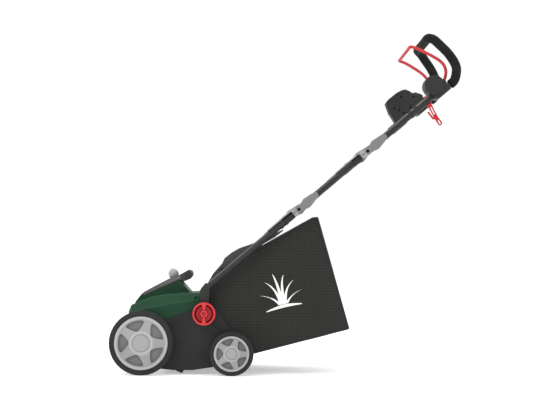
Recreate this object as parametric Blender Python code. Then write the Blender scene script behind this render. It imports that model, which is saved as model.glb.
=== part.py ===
"""Electric lawn dethatcher with folding handle and collecting bag.

Frame: +X rearwards, +Y to the machine's right, +Z up, origin on the floor under the box centre.
"""

import math

import bmesh
import bpy
from mathutils import Matrix, Vector

# Running gear
FRONT_AXLE = (-0.4535, 0.1000)
FRONT_TYRE_R = 0.1000
FRONT_RIM_R = 0.0832
REAR_AXLE = (-0.1720, 0.0690)
REAR_TYRE_R = 0.0690
REAR_RIM_R = 0.0552
WHEEL_IN = 0.2080
WHEEL_OUT = 0.2530
TYRE_SIDES = 40
POCKET_CORNERS = ((-24, 0.85), (-8, 0.87), (8, 0.87), (24, 0.85), (10, 0.50), (-10, 0.50))
CRANK_PIVOT = (-0.4170, 0.0950)
CRANK_ROD_R = 0.0060
CRANK_ARM_IN = 0.1975
CRANK_ARM_OUT = 0.2035
REAR_AXLE_R = 0.0050
RUN_GAP = 0.0003

# Housing
SIDE_Y = 0.1952
SIDE_WALL = 0.0060
BAY_WALL_IN = 0.1650
BAY_WALL_OUT = 0.1700
ROTOR_AXIS = (-0.3325, 0.0570)
ROTOR_TIP_R = 0.0552
ROTOR_SHAFT_R = 0.0060
ROTOR_PULLEY_R = 0.0240
BELT_Y = (0.1740, 0.1820)
MOTOR_AXIS = (-0.4280, 0.1660)
MOTOR_R = 0.0420
MOTOR_Y = (-0.1050, 0.1500)
MOTOR_PULLEY_R = 0.0160
HANDLE_PIVOT = (-0.2595, 0.1925)
FLAP_HINGE = (-0.2555, 0.2725)
LEVER_PIVOT = (-0.3550, 0.2360)
BALL_CENTRE = (-0.3690, 0.3145)
BALL_R = 0.0175
HOOD_HALF_W = 0.0880

DECK_OUTLINE = [
    (-0.4050, 0.0180), (-0.3565, 0.0135), (-0.2955, 0.0135), (-0.2305, 0.0235),
    (-0.2000, 0.0430), (-0.1580, 0.0430), (-0.1470, 0.0550), (-0.1470, 0.0800),
    (-0.1685, 0.1025), (-0.2035, 0.1335), (-0.2315, 0.1555), (-0.2400, 0.2000),
    (-0.2430, 0.2620), (-0.2665, 0.2620), (-0.2665, 0.2135), (-0.2965, 0.2045),
    (-0.3215, 0.1935), (-0.3515, 0.1805), (-0.3825, 0.1715), (-0.4300, 0.1600),
    (-0.4800, 0.1500), (-0.4740, 0.1150), (-0.4320, 0.0950), (-0.4150, 0.0600),
]
TUNNEL_OUTLINE = [
    (-0.3980, -0.0200), (-0.2620, -0.0200), (-0.2620, 0.0600), (-0.2380, 0.1620),
    (-0.2000, 0.1720), (-0.2000, 0.2520), (-0.2585, 0.2520), (-0.2615, 0.2080),
    (-0.2850, 0.1920), (-0.3180, 0.1500), (-0.3500, 0.1260), (-0.3830, 0.1030),
    (-0.3980, 0.0700),
]
CHUTE_OUTLINE = [
    (-0.2870, -0.0200), (-0.2620, -0.0200), (-0.2620, 0.0600), (-0.2380, 0.1620),
    (-0.2000, 0.1720), (-0.2000, 0.2520), (-0.2585, 0.2520), (-0.2615, 0.2080),
    (-0.2800, 0.1900), (-0.2870, 0.1600),
]
REAR_CAVITY = [
    (-0.2500, -0.0200), (-0.1540, -0.0200), (-0.1540, 0.0760), (-0.1750, 0.0970),
    (-0.2080, 0.1260), (-0.2320, 0.1420),
]
# Cover sections: bottom edge shared, top edge at the side, and top edge further in
COVER_BOTTOM = [
    (-0.4900, 0.1524), (-0.4300, 0.1608), (-0.3825, 0.1724), (-0.3515, 0.1814),
    (-0.3215, 0.1944), (-0.2965, 0.2056), (-0.2675, 0.2144),
]
COVER_SIDE_TOP = [
    (-0.2675, 0.2365), (-0.2835, 0.2345), (-0.3445, 0.2265), (-0.3905, 0.2175),
    (-0.4365, 0.2065), (-0.4935, 0.1945), (-0.4975, 0.1750),
]
COVER_MID_TOP = [
    (-0.2675, 0.2575), (-0.2835, 0.2565), (-0.3445, 0.2525), (-0.3905, 0.2480),
    (-0.4365, 0.2380), (-0.4915, 0.2165), (-0.5005, 0.1950),
]
COVER_WALL = 0.0040
HUMP_OUTLINE = [
    (-0.4880, 0.2160), (-0.3115, 0.2400), (-0.3115, 0.2550), (-0.3440, 0.2900),
    (-0.3445, 0.2930), (-0.4074, 0.2664), (-0.4573, 0.2422), (-0.4641, 0.2508),
    (-0.4658, 0.2506), (-0.4868, 0.2230),
]
HUMP_HOLLOW = [
    (-0.4600, 0.2000), (-0.3160, 0.2000), (-0.3160, 0.2535), (-0.3470, 0.2865),
    (-0.4090, 0.2610), (-0.4580, 0.2370), (-0.4640, 0.2440), (-0.4790, 0.2240),
    (-0.4790, 0.2170),
]
RAMP_OUTLINE = [
    (-0.4630, 0.2515), (-0.4565, 0.2428), (-0.4074, 0.2672), (-0.3425, 0.2950),
    (-0.3315, 0.2905), (-0.3150, 0.2975), (-0.3060, 0.3085), (-0.3050, 0.3170),
    (-0.3095, 0.3255), (-0.3160, 0.3282), (-0.3435, 0.3130), (-0.3807, 0.2985),
    (-0.4237, 0.2755), (-0.4590, 0.2560),
]

# Handle: one straight line in side view, tubes side by side at the folds
TUBE_R = 0.0110
TUBE_WALL = 0.0015
OUTER_Y = 0.2120
INNER_Y = 0.1880
HANDLE_SLOPE = math.radians(40.94)
FOLD_LOW = (0.0340, 0.5226)
FOLD_HIGH = (0.2496, 0.7096)
TUBE_PAST_FOLD = 0.0120
UPPER_TUBE_LEN = 0.2900
PIN_R = 0.0040
PIN_BORE = 0.0044
LEVER_Y = 0.2335
LEVER_HALF_T = 0.0038
LEVER_OUTLINE = [
    (0.0000, -0.0115), (0.0145, -0.0125), (0.0312, -0.0172), (0.0430, -0.0152),
    (0.0740, -0.0085), (0.0768, -0.0055), (0.0785, 0.0045), (0.0742, 0.0104),
    (0.0315, 0.0162), (0.0173, 0.0112), (0.0000, 0.0115),
]
SPINE_OUTLINE = [
    (-0.1200, 0.0116), (-0.0223, 0.0116), (-0.0223, -0.0120), (0.0060, -0.0120),
    (0.0110, -0.0060), (0.0110, 0.0060), (0.0100, 0.0130), (-0.0280, 0.0195),
    (-0.0430, 0.0152), (-0.1180, 0.0142),
]
KNOB_R = 0.0358
KNOB_Y = (0.2285, 0.2530)

# Grip, bail and switch
HUB_Y = (0.1830, 0.2340)
HUB_DISC = (0.2988, 0.0232)
HUB_DISC_R = 0.0316
HUB_BODY = [
    (0.2750, -0.0120), (0.2830, -0.0197), (0.3315, -0.0197), (0.3345, -0.0160),
    (0.3345, 0.0180), (0.3200, 0.0300), (0.2750, 0.0200),
]
GRIP_Y = 0.1950
GRIP_TUBE_R = 0.0095
FOAM_R = 0.0152
GRIP_PATH = [
    (0.4905, -0.1950, 0.9079), (0.5145, -0.1950, 0.9290), (0.5300, -0.1950, 0.9440),
    (0.5365, -0.1940, 0.9650), (0.5375, -0.1900, 0.9880), (0.5295, -0.1810, 1.0110),
    (0.5150, -0.1690, 1.0365), (0.4935, -0.1540, 1.0630), (0.4740, -0.1400, 1.0850),
    (0.4620, -0.1250, 1.0930), (0.4570, -0.1080, 1.0945),
]
BAIL_PIVOT = (0.4965, 0.9375)
BAIL_R = 0.0050
BAIL_PATH = [
    (0.4965, -0.1860, 0.9375), (0.4965, -0.1760, 0.9375), (0.4970, -0.1720, 0.9400),
    (0.5050, -0.1710, 0.9580), (0.5075, -0.1690, 0.9790), (0.5020, -0.1650, 0.9980),
    (0.4930, -0.1610, 1.0100), (0.4800, -0.1560, 1.0210), (0.4555, -0.1490, 1.0360),
    (0.4215, -0.1420, 1.0540), (0.4030, -0.1390, 1.0605), (0.3965, -0.1300, 1.0620),
]
BOX_Y = (0.1250, 0.1780)
BOX_COVER_T = 0.0060
BOX_OUTLINE = [
    (0.4010, 0.8380), (0.4700, 0.8985), (0.4840, 0.9150), (0.4835, 0.9264), (0.4778, 0.9440),
    (0.4640, 0.9495), (0.4500, 0.9490), (0.4400, 0.9510), (0.4325, 0.9565), (0.4180, 0.9620),
    (0.4050, 0.9590), (0.3872, 0.9492), (0.3594, 0.9262), (0.3510, 0.9140), (0.3636, 0.8803),
    (0.3882, 0.8430),
]
BUTTON_AT = (0.4560, 0.1520)
BUTTON_R = 0.0060
HOOK_Y = (-0.2160, -0.2080)
HOOK_EDGE = [
    (0.4640, 0.8440), (0.4755, 0.8235), (0.4882, 0.8070), (0.4885, 0.8005), (0.4835, 0.7968),
    (0.4780, 0.7985), (0.4700, 0.8110), (0.4655, 0.8165), (0.4590, 0.8160), (0.4500, 0.8275),
    (0.4415, 0.8385), (0.4465, 0.8400), (0.4530, 0.8310), (0.4600, 0.8225), (0.4625, 0.8235),
    (0.4560, 0.8360), (0.4480, 0.8500),
]
HOOK_SLOT = [(0.4500, 0.8540), (0.4545, 0.8565), (0.4665, 0.8330), (0.4620, 0.8305)]
HOOK_EYE = [
    (0.4745, 0.8130), (0.4785, 0.8150), (0.4850, 0.8055), (0.4845, 0.8015), (0.4810, 0.8010),
    (0.4780, 0.8040),
]

# Collecting bag and rear flap
BAG_HALF_W = 0.1850
BAG_SKIN = 0.0040
BAG_OUTLINE = [
    (-0.2375, 0.2000), (-0.2288, 0.1575), (-0.2016, 0.1356), (-0.1660, 0.1048),
    (-0.1400, 0.0860), (-0.1015, 0.0675), (0.1995, 0.1475), (0.0965, 0.5000),
    (0.0805, 0.4985), (-0.2080, 0.3345), (-0.2230, 0.3130), (-0.2405, 0.2850),
    (-0.2405, 0.2620),
]
BAG_INNER = [
    (-0.2700, 0.1760), (-0.2283, 0.1760), (-0.2250, 0.1595), (-0.1992, 0.1388),
    (-0.1634, 0.1079), (-0.1385, 0.0896), (-0.1010, 0.0717), (0.1947, 0.1503),
    (0.0938, 0.4948), (0.0818, 0.4945), (-0.2050, 0.3315), (-0.2198, 0.3105),
    (-0.2365, 0.2838), (-0.2365, 0.2780), (-0.2700, 0.2780),
]
FLAP_HALF_W = 0.1640
FLAP_OUTLINE = [
    (-0.2590, 0.2750), (-0.2535, 0.2705), (-0.2290, 0.3165), (-0.2022, 0.3480),
    (-0.1945, 0.3645), (-0.1722, 0.3832), (-0.1490, 0.3965), (-0.1215, 0.4062),
    (-0.0785, 0.4230), (-0.0120, 0.4570), (-0.0130, 0.4612), (-0.0800, 0.4265),
    (-0.1223, 0.4101), (-0.1505, 0.4003), (-0.1740, 0.3868), (-0.1985, 0.3672),
    (-0.2062, 0.3500), (-0.2335, 0.3190),
]

PALETTE = {
    "green": ((0.045, 0.115, 0.068), 0.35, 0.0),
    "graphite": ((0.032, 0.032, 0.033), 0.55, 0.0),
    "ramp_grey": ((0.17, 0.165, 0.17), 0.5, 0.0),
    "silver": ((0.43, 0.43, 0.44), 0.4, 0.0),
    "rubber": ((0.02, 0.02, 0.02), 0.85, 0.0),
    "red": ((0.65, 0.045, 0.05), 0.35, 0.0),
    "tube": ((0.05, 0.05, 0.052), 0.3, 0.6),
    "steel": ((0.5, 0.5, 0.5), 0.35, 1.0),
    "hinge_grey": ((0.25, 0.25, 0.25), 0.5, 0.0),
    "saddle_grey": ((0.37, 0.37, 0.37), 0.5, 0.0),
    "foam": ((0.02, 0.02, 0.022), 0.9, 0.0),
    "fabric": ((0.024, 0.024, 0.023), 0.95, 0.0),
    "motor_metal": ((0.2, 0.2, 0.21), 0.45, 0.8),
}

for old in list(bpy.data.objects):
    bpy.data.objects.remove(old, do_unlink=True)
PARTS = bpy.data.collections.new("lawn_dethatcher")
CUTTERS = bpy.data.collections.new("cutters")
bpy.context.scene.collection.children.link(PARTS)
bpy.context.scene.collection.children.link(CUTTERS)
CUTTERS.hide_render = True
UP = Vector((math.cos(HANDLE_SLOPE), 0.0, math.sin(HANDLE_SLOPE)))
ACROSS = Vector((-math.sin(HANDLE_SLOPE), 0.0, math.cos(HANDLE_SLOPE)))


def shade(obj, key):
    """Gives the object its own Principled material."""
    colour, rough, metal = PALETTE[key]
    made = bpy.data.materials.new(obj.name + "_mat")
    made.use_nodes = True
    bsdf = made.node_tree.nodes["Principled BSDF"]
    bsdf.inputs["Base Color"].default_value = (*colour, 1.0)
    bsdf.inputs["Roughness"].default_value = rough
    bsdf.inputs["Metallic"].default_value = metal
    made.diffuse_color = (*colour, 1.0)
    obj.data.materials.clear()
    obj.data.materials.append(made)
    return obj


def from_bmesh(name, shape):
    """Turns a bmesh into an object among the cutters, normals outwards."""
    bmesh.ops.recalc_face_normals(shape, faces=shape.faces)
    bmesh.ops.triangulate(shape, faces=shape.faces)
    if shape.calc_volume(signed=True) < 0:
        bmesh.ops.reverse_faces(shape, faces=shape.faces)
    mesh = bpy.data.meshes.new(name)
    shape.to_mesh(mesh)
    shape.free()
    obj = bpy.data.objects.new(name, mesh)
    CUTTERS.objects.link(obj)
    obj.hide_render = True
    obj.display_type = "WIRE"
    return obj


def node(obj, name, key, pivot=None):
    """Makes a shape a named part, with its origin on its joint axis if it has one."""
    CUTTERS.objects.unlink(obj)
    PARTS.objects.link(obj)
    obj.hide_render = False
    obj.display_type = "TEXTURED"
    obj.name = name
    if pivot is not None:
        spot = Vector(pivot)
        obj.data.transform(Matrix.Translation(-spot))
        obj.location = spot
    return shade(obj, key)


def loft(sections):
    """A closed solid through sections of equally many points, with flat ends."""
    shape = bmesh.new()
    rings = [[shape.verts.new(p) for p in section] for section in sections]
    count = len(rings[0])
    for low, high in zip(rings, rings[1:]):
        for i in range(count):
            j = (i + 1) % count
            shape.faces.new((low[i], low[j], high[j], high[i]))
    shape.faces.new(rings[0])
    shape.faces.new(rings[-1])
    return from_bmesh("loft", shape)


def slab(outline, y0, y1):
    """A side-view outline given thickness along Y."""
    return loft([[(x, y, z) for x, z in outline] for y in (y0, y1)])


def block(x0, x1, y0, y1, z0, z1):
    """A box between two corners."""
    shape = bmesh.new()
    bmesh.ops.create_cube(shape, size=1.0)
    size = Matrix.Diagonal((x1 - x0, y1 - y0, z1 - z0, 1.0))
    middle = Matrix.Translation(((x0 + x1) / 2, (y0 + y1) / 2, (z0 + z1) / 2))
    shape.transform(middle @ size)
    return from_bmesh("block", shape)


def rod(start, end, radius, sides=20):
    """A round bar between two points."""
    start = Vector(start)
    end = Vector(end)
    shape = bmesh.new()
    bmesh.ops.create_cone(
        shape, cap_ends=True, segments=sides, radius1=radius, radius2=radius,
        depth=(end - start).length,
    )
    turn = (end - start).to_track_quat("Z", "Y").to_matrix().to_4x4()
    shape.transform(Matrix.Translation((start + end) / 2) @ turn)
    return from_bmesh("rod", shape)


def disc(centre, radius, y0, y1, sides=32):
    """A round bar along Y."""
    return rod((centre[0], y0, centre[1]), (centre[0], y1, centre[1]), radius, sides)


def swept(points, radius, sides_level=2):
    """A round bar along a line of points."""
    curve = bpy.data.curves.new("swept", "CURVE")
    curve.dimensions = "3D"
    curve.bevel_depth = radius
    curve.bevel_resolution = sides_level
    curve.use_fill_caps = True
    spline = curve.splines.new("POLY")
    spline.points.add(len(points) - 1)
    for spot, p in zip(spline.points, points):
        spot.co = (*p, 1.0)
    guide = bpy.data.objects.new("swept_guide", curve)
    CUTTERS.objects.link(guide)
    bpy.context.view_layer.update()
    mesh = bpy.data.meshes.new_from_object(
        guide.evaluated_get(bpy.context.evaluated_depsgraph_get())
    )
    shape = bmesh.new()
    shape.from_mesh(mesh)
    bmesh.ops.remove_doubles(shape, verts=shape.verts, dist=1e-6)
    bpy.data.objects.remove(guide, do_unlink=True)
    bpy.data.meshes.remove(mesh)
    return from_bmesh("swept", shape)


def turned(profile, centre, side, steps=32):
    """A profile of (radius, distance from the middle) spun about a Y axis, with a flat underneath."""
    shape = bmesh.new()
    lead = math.pi / steps
    ring = [
        shape.verts.new((centre[0] + r * math.sin(lead), side * y, centre[1] - r * math.cos(lead)))
        for r, y in profile
    ]
    edges = [shape.edges.new(pair) for pair in zip(ring, ring[1:] + ring[:1])]
    bmesh.ops.spin(
        shape, geom=ring + edges, cent=(centre[0], 0.0, centre[1]), axis=(0.0, 1.0, 0.0),
        angle=2 * math.pi, steps=steps, use_merge=True,
    )
    return from_bmesh("turned", shape)


def solved(target, other, how, solver):
    """The mesh that one Boolean makes, and whether it is closed."""
    step = target.modifiers.new(how.lower(), "BOOLEAN")
    step.operation = how
    step.solver = solver
    step.object = other
    bpy.context.view_layer.update()
    mesh = bpy.data.meshes.new_from_object(
        target.evaluated_get(bpy.context.evaluated_depsgraph_get())
    )
    target.modifiers.clear()
    shape = bmesh.new()
    shape.from_mesh(mesh)
    bmesh.ops.remove_doubles(shape, verts=shape.verts, dist=1e-6)
    bmesh.ops.dissolve_degenerate(shape, edges=shape.edges, dist=1e-6)
    whole = all(len(edge.link_faces) == 2 for edge in shape.edges)
    shape.to_mesh(mesh)
    shape.free()
    return mesh, whole


def combine(target, other, how):
    """Applies one Boolean and removes the tool."""
    mesh, whole = solved(target, other, how, "EXACT")
    if not whole:
        mesh, whole = solved(target, other, how, "MANIFOLD")
    target.data = mesh
    bpy.data.objects.remove(other, do_unlink=True)
    return target


def cut(target, *tools):
    for tool in tools:
        combine(target, tool, "DIFFERENCE")
    return target


def join(target, *tools):
    for tool in tools:
        combine(target, tool, "UNION")
    return target


def hull_outline(c1, r1, c2, r2, count=24):
    """The outline of a belt round two circles."""
    points = []
    for centre, radius in ((c1, r1), (c2, r2)):
        for k in range(count):
            angle = 2 * math.pi * k / count
            points.append((
                centre[0] + radius * math.cos(angle), centre[1] + radius * math.sin(angle),
            ))
    points.sort()
    chains = []
    for run in (points, points[::-1]):
        chain = []
        for p in run:
            while len(chain) > 1:
                a, b = chain[-2], chain[-1]
                turn = (b[0] - a[0]) * (p[1] - a[1]) - (b[1] - a[1]) * (p[0] - a[0])
                if turn > 1e-12:
                    break
                chain.pop()
            chain.append(p)
        chains.append(chain[:-1])
    return chains[0] + chains[1]


def on_handle(base, u, v=0.0, y=0.0):
    """A point at u along and v across the handle line, from a base in side view."""
    return Vector((base[0], y, base[1])) + UP * u + ACROSS * v


def handle_slab(base, outline, y0, y1):
    """An outline in handle coordinates given thickness along Y."""
    return loft([[on_handle(base, u, v, y) for u, v in outline] for y in (y0, y1)])


def box_outline(u0, u1, v0, v1):
    return [(u0, v0), (u1, v0), (u1, v1), (u0, v1)]


# Chassis


def deck_housing():
    shell = slab(DECK_OUTLINE, -SIDE_Y, SIDE_Y)
    inner = SIDE_Y - SIDE_WALL
    cut(
        shell,
        slab(TUNNEL_OUTLINE, -inner, BAY_WALL_IN),
        slab(CHUTE_OUTLINE, 0.1600, inner),
        slab(REAR_CAVITY, -inner, inner),
        block(-0.4730, -0.3830, -0.1650, 0.1600, 0.1205, 0.3000),
        slab(hull_outline(MOTOR_AXIS, 0.0260, ROTOR_AXIS, 0.0340), BAY_WALL_OUT, 0.3000),
        disc(ROTOR_AXIS, 0.0080, 0.1600, 0.1750, 20),
        disc(REAR_AXLE, REAR_AXLE_R + RUN_GAP, -0.3000, 0.3000, 20),
        disc(CRANK_PIVOT, CRANK_ROD_R + RUN_GAP, -0.3000, 0.3000, 20),
        disc(HANDLE_PIVOT, PIN_BORE, -0.3000, -0.1700, 16),
        disc(HANDLE_PIVOT, PIN_BORE, 0.1700, 0.3000, 16),
    )
    for side in (-1, 1):
        ears = sorted((side * 0.1680, side * 0.1760))
        lug = join(
            block(-0.2625, -0.2485, ears[0], ears[1], 0.2560, 0.2725),
            disc(FLAP_HINGE, 0.0070, ears[0], ears[1], 20),
        )
        cut(lug, disc(FLAP_HINGE, 0.0033, ears[0] - 0.01, ears[1] + 0.01, 14))
        join(shell, lug)
    node(shell, "deck_housing", "graphite")


def cover_section(top, y, drop=0.0, shrink=0.0):
    bottom = [(x, z - 4 * drop) for x, z in COVER_BOTTOM]
    inner_top = [(x, z - drop) for x, z in top]
    points = bottom + inner_top
    if shrink:
        points = [(min(max(x, -0.5005 + shrink + 0.0035), -0.2675 - shrink), z) for x, z in points]
    return [(x, y, z) for x, z in points]


def motor_cover():
    ys = (0.1900, 0.1690)
    shell = loft([
        cover_section(COVER_SIDE_TOP, -ys[0]), cover_section(COVER_MID_TOP, -ys[1]),
        cover_section(COVER_MID_TOP, ys[1]), cover_section(COVER_SIDE_TOP, ys[0]),
    ])
    join(shell, slab(HUMP_OUTLINE, -HOOD_HALF_W + 0.002, HOOD_HALF_W - 0.002))
    w = COVER_WALL
    cavity = loft([
        cover_section(COVER_SIDE_TOP, -ys[0] + w, w, w),
        cover_section(COVER_MID_TOP, -ys[1] + w, w, w),
        cover_section(COVER_MID_TOP, ys[1] - w, w, w),
        cover_section(COVER_SIDE_TOP, ys[0] - w, w, w),
    ])
    cut(
        shell,
        cavity,
        slab(HUMP_HOLLOW, -HOOD_HALF_W + 0.006, HOOD_HALF_W - 0.006),
        block(-0.4050, -0.3310, -0.0150, 0.0150, 0.2300, 0.3100),
    )
    node(shell, "motor_cover", "green")


def top_trim():
    ramp = slab(RAMP_OUTLINE, -HOOD_HALF_W, HOOD_HALF_W)
    px, pz = LEVER_PIVOT
    dish = []
    for radius, turns in ((0.0612, range(-10, 38, 3)), (0.1100, range(35, -11, -9))):
        for turn in turns:
            angle = math.radians(turn)
            dish.append((px - radius * math.sin(angle), pz + radius * math.cos(angle)))
    cut(
        ramp,
        block(-0.4000, -0.3380, -0.0075, 0.0075, 0.2000, 0.3600),
        slab(dish, -BALL_R - 0.0015, BALL_R + 0.0015),
    )
    for side in (-1, 1):
        inner, outer = sorted((side * 0.0085, side * 0.0125))
        join(ramp, slab(
            [(-0.3660, 0.2880), (-0.3620, 0.2300), (-0.3480, 0.2300), (-0.3440, 0.2960)],
            inner, outer,
        ))
    join(ramp, disc(LEVER_PIVOT, 0.0040, -0.0100, 0.0100, 16))
    node(ramp, "top_trim", "ramp_grey")


def depth_lever():
    arm = join(
        disc(LEVER_PIVOT, 0.0080, -0.0050, 0.0050, 24),
        rod((LEVER_PIVOT[0], 0, LEVER_PIVOT[1]), (BALL_CENTRE[0], 0, BALL_CENTRE[1]), 0.0045, 16),
    )
    cut(arm, disc(LEVER_PIVOT, 0.0043, -0.02, 0.02, 16))
    node(arm, "depth_lever", "steel", (LEVER_PIVOT[0], 0, LEVER_PIVOT[1]))
    shape = bmesh.new()
    bmesh.ops.create_uvsphere(shape, u_segments=20, v_segments=12, radius=BALL_R)
    shape.transform(Matrix.Translation((BALL_CENTRE[0], 0, BALL_CENTRE[1])))
    ball = from_bmesh("ball", shape)
    start = Vector((LEVER_PIVOT[0], 0, LEVER_PIVOT[1]))
    end = Vector((BALL_CENTRE[0], 0, BALL_CENTRE[1]))
    along = (end - start).normalized()
    cut(ball, rod(end - along * 0.0400, end + along * 0.0003, 0.0048, 16))
    node(ball, "lever_knob", "silver", (LEVER_PIVOT[0], 0, LEVER_PIVOT[1]))


def motor():
    body = disc(MOTOR_AXIS, MOTOR_R, MOTOR_Y[0], MOTOR_Y[1], 32)
    x, z = MOTOR_AXIS
    join(
        body,
        disc(MOTOR_AXIS, 0.0180, MOTOR_Y[0] - 0.0150, MOTOR_Y[0] + 0.0100, 24),
        block(x - 0.0300, x + 0.0300, -0.0800, -0.0500, 0.1210, z),
        block(x - 0.0300, x + 0.0300, 0.0800, 0.1100, 0.1210, z),
    )
    cut(body, disc(MOTOR_AXIS, 0.0055, 0.1200, 0.1700, 16))
    node(body, "motor_body", "motor_metal")
    shaft = join(
        disc(MOTOR_AXIS, 0.0050, 0.1210, 0.1840, 16),
        disc(MOTOR_AXIS, MOTOR_PULLEY_R, BELT_Y[0] - 0.001, BELT_Y[1] + 0.001, 24),
    )
    node(shaft, "motor_pulley", "steel", (MOTOR_AXIS[0], 0, MOTOR_AXIS[1]))


def belt_drive():
    belt = slab(
        hull_outline(MOTOR_AXIS, MOTOR_PULLEY_R + 0.0035, ROTOR_AXIS, ROTOR_PULLEY_R + 0.0035), *BELT_Y
    )
    cut(belt, slab(
        hull_outline(MOTOR_AXIS, MOTOR_PULLEY_R + 0.0005, ROTOR_AXIS, ROTOR_PULLEY_R + 0.0005),
        BELT_Y[0] - 0.01, BELT_Y[1] + 0.01,
    ))
    node(belt, "drive_belt", "rubber")
    plate = slab(hull_outline(MOTOR_AXIS, 0.0252, ROTOR_AXIS, 0.0332), 0.1888, 0.1950)
    above = [(x, z - 0.0008) for x, z in DECK_OUTLINE[14:21]]
    cut(plate, slab(above + [(-0.5200, 0.1500), (-0.5200, 0.4000), (-0.2600, 0.4000)], 0.18, 0.20))
    node(plate, "belt_cover", "graphite")


def rotor():
    spot = (ROTOR_AXIS[0], 0, ROTOR_AXIS[1])
    shaft = disc(ROTOR_AXIS, ROTOR_SHAFT_R, -0.1870, 0.1860, 20)
    node(shaft, "rotor_shaft", "steel", spot)
    stack = disc(ROTOR_AXIS, 0.0150, -0.1640, 0.1420, 20)
    for k in range(13):
        y = -0.1560 + 0.0240 * k
        arms = []
        for arm in range(3):
            base = 2 * math.pi * arm / 3 + math.radians(30 + 40 * k)
            for spread, radius in ((-22, 0.0200), (-5, ROTOR_TIP_R), (7, ROTOR_TIP_R), (22, 0.0200)):
                angle = base + math.radians(spread)
                arms.append((
                    ROTOR_AXIS[0] + radius * math.cos(angle), ROTOR_AXIS[1] + radius * math.sin(angle),
                ))
        join(stack, slab(arms, y, y + 0.0020))
    cut(stack, disc(ROTOR_AXIS, ROTOR_SHAFT_R + 0.0003, -0.3, 0.3, 20))
    node(stack, "rotor_blades", "steel", spot)
    pulley = disc(ROTOR_AXIS, ROTOR_PULLEY_R, BELT_Y[0] - 0.001, BELT_Y[1] + 0.001, 28)
    cut(pulley, disc(ROTOR_AXIS, ROTOR_SHAFT_R + 0.0003, 0.1, 0.3, 20))
    node(pulley, "rotor_pulley", "steel", spot)
    for name, y0, y1 in (("bearing_left", -0.1888, -0.1760), ("bearing_right", 0.1520, 0.1646)):
        ring = disc(ROTOR_AXIS, 0.0180, y0, y1, 24)
        cut(ring, disc(ROTOR_AXIS, ROTOR_SHAFT_R + RUN_GAP, y0 - 0.01, y1 + 0.01, 20))
        node(ring, name, "motor_metal")


# Running gear


def wheel(prefix, axle, side, tyre_r, rim_r, bore):
    """Rim with five pockets, tyre and hub cap on one stub axle."""
    inner = WHEEL_IN
    outer = WHEEL_OUT
    hub = 0.26 * rim_r
    rim = turned([
        (bore, inner), (hub, inner), (hub, outer - 0.0160), (rim_r - 0.0080, outer - 0.0160),
        (rim_r - 0.0080, inner + 0.0030), (rim_r, inner + 0.0030), (rim_r, outer - 0.0010),
        (rim_r - 0.0060, outer - 0.0010), (rim_r - 0.0090, outer - 0.0030),
        (0.34 * rim_r, outer - 0.0030), (0.34 * rim_r, outer - 0.0060), (bore, outer - 0.0060),
    ], axle, side)
    for k in range(5):
        middle = math.radians(180 - 72 * k)
        pocket = []
        for spread, share in POCKET_CORNERS:
            angle = middle + math.radians(spread)
            pocket.append((
                axle[0] + share * rim_r * math.cos(angle), axle[1] + share * rim_r * math.sin(angle),
            ))
        cut(rim, slab(pocket, *sorted((side * (outer - 0.0110), side * (outer + 0.0100)))))
    spot = (axle[0], 0, axle[1])
    node(rim, prefix + "_rim", "silver", spot)
    tread = tyre_r / math.cos(math.pi / TYRE_SIDES)
    tyre = turned([
        (rim_r + 0.0003, inner + 0.0020), (tread - 0.0060, inner + 0.0010),
        (tread - 0.0010, inner + 0.0060), (tread, inner + 0.0130), (tread, outer - 0.0110),
        (tread - 0.0010, outer - 0.0050), (tread - 0.0060, outer), (rim_r + 0.0003, outer),
    ], axle, side, TYRE_SIDES)
    node(tyre, prefix + "_tyre", "rubber", spot)
    cap = turned([
        (0.0010, outer - 0.0057), (0.32 * rim_r, outer - 0.0057), (0.32 * rim_r, outer - 0.0010),
        (0.26 * rim_r, outer + 0.0018), (0.0010, outer + 0.0025),
    ], axle, side, 28)
    join(cap, disc(axle, 0.0030, *sorted((side * (outer - 0.0057), side * (outer + 0.0025))), 12))
    node(cap, prefix + "_cap", "silver", spot)


def running_gear():
    node(disc(REAR_AXLE, REAR_AXLE_R, -0.2468, 0.2468, 20), "rear_axle", "steel")
    crank = disc(CRANK_PIVOT, CRANK_ROD_R, -CRANK_ARM_OUT, CRANK_ARM_OUT, 20)
    for side in (-1, 1):
        arm = slab(
            hull_outline(CRANK_PIVOT, 0.0110, FRONT_AXLE, 0.0110, 20),
            *sorted((side * CRANK_ARM_IN, side * CRANK_ARM_OUT)),
        )
        stub = disc(FRONT_AXLE, CRANK_ROD_R, *sorted((side * (CRANK_ARM_OUT - 0.002), side * 0.2468)), 20)
        join(crank, join(arm, stub))
    node(crank, "front_crank", "steel", (CRANK_PIVOT[0], 0, CRANK_PIVOT[1]))
    for label, side in (("left", -1), ("right", 1)):
        wheel("front_wheel_" + label, FRONT_AXLE, side, FRONT_TYRE_R, FRONT_RIM_R, CRANK_ROD_R + RUN_GAP)
        wheel("rear_wheel_" + label, REAR_AXLE, side, REAR_TYRE_R, REAR_RIM_R, REAR_AXLE_R + RUN_GAP)


# Handle


def lower_tube(label, side):
    y = side * OUTER_Y
    low = HANDLE_PIVOT
    bend = [
        (low[0], y, low[1] - 0.0150), (low[0] + 0.0010, y, 0.2300), (-0.2565, y, 0.2560),
        (-0.2510, y, 0.2725), (-0.2400, y, 0.2850),
    ]
    top = on_handle(FOLD_LOW, TUBE_PAST_FOLD, 0.0, y)
    path = bend + [tuple(on_handle(FOLD_LOW, -0.3400, 0.0, y)), tuple(top)]
    tube = swept(path, TUBE_R, 3)
    bore_path = bend[1:] + [path[-2], tuple(top + UP * 0.0200)]
    cut(
        tube,
        swept(bore_path, TUBE_R - TUBE_WALL, 3),
        disc(low, PIN_BORE, *sorted((side * 0.19, side * 0.24)), 16),
        disc(FOLD_LOW, PIN_BORE, *sorted((side * 0.19, side * 0.24)), 16),
    )
    node(tube, "lower_tube_" + label, "tube", (low[0], y, low[1]))


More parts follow.
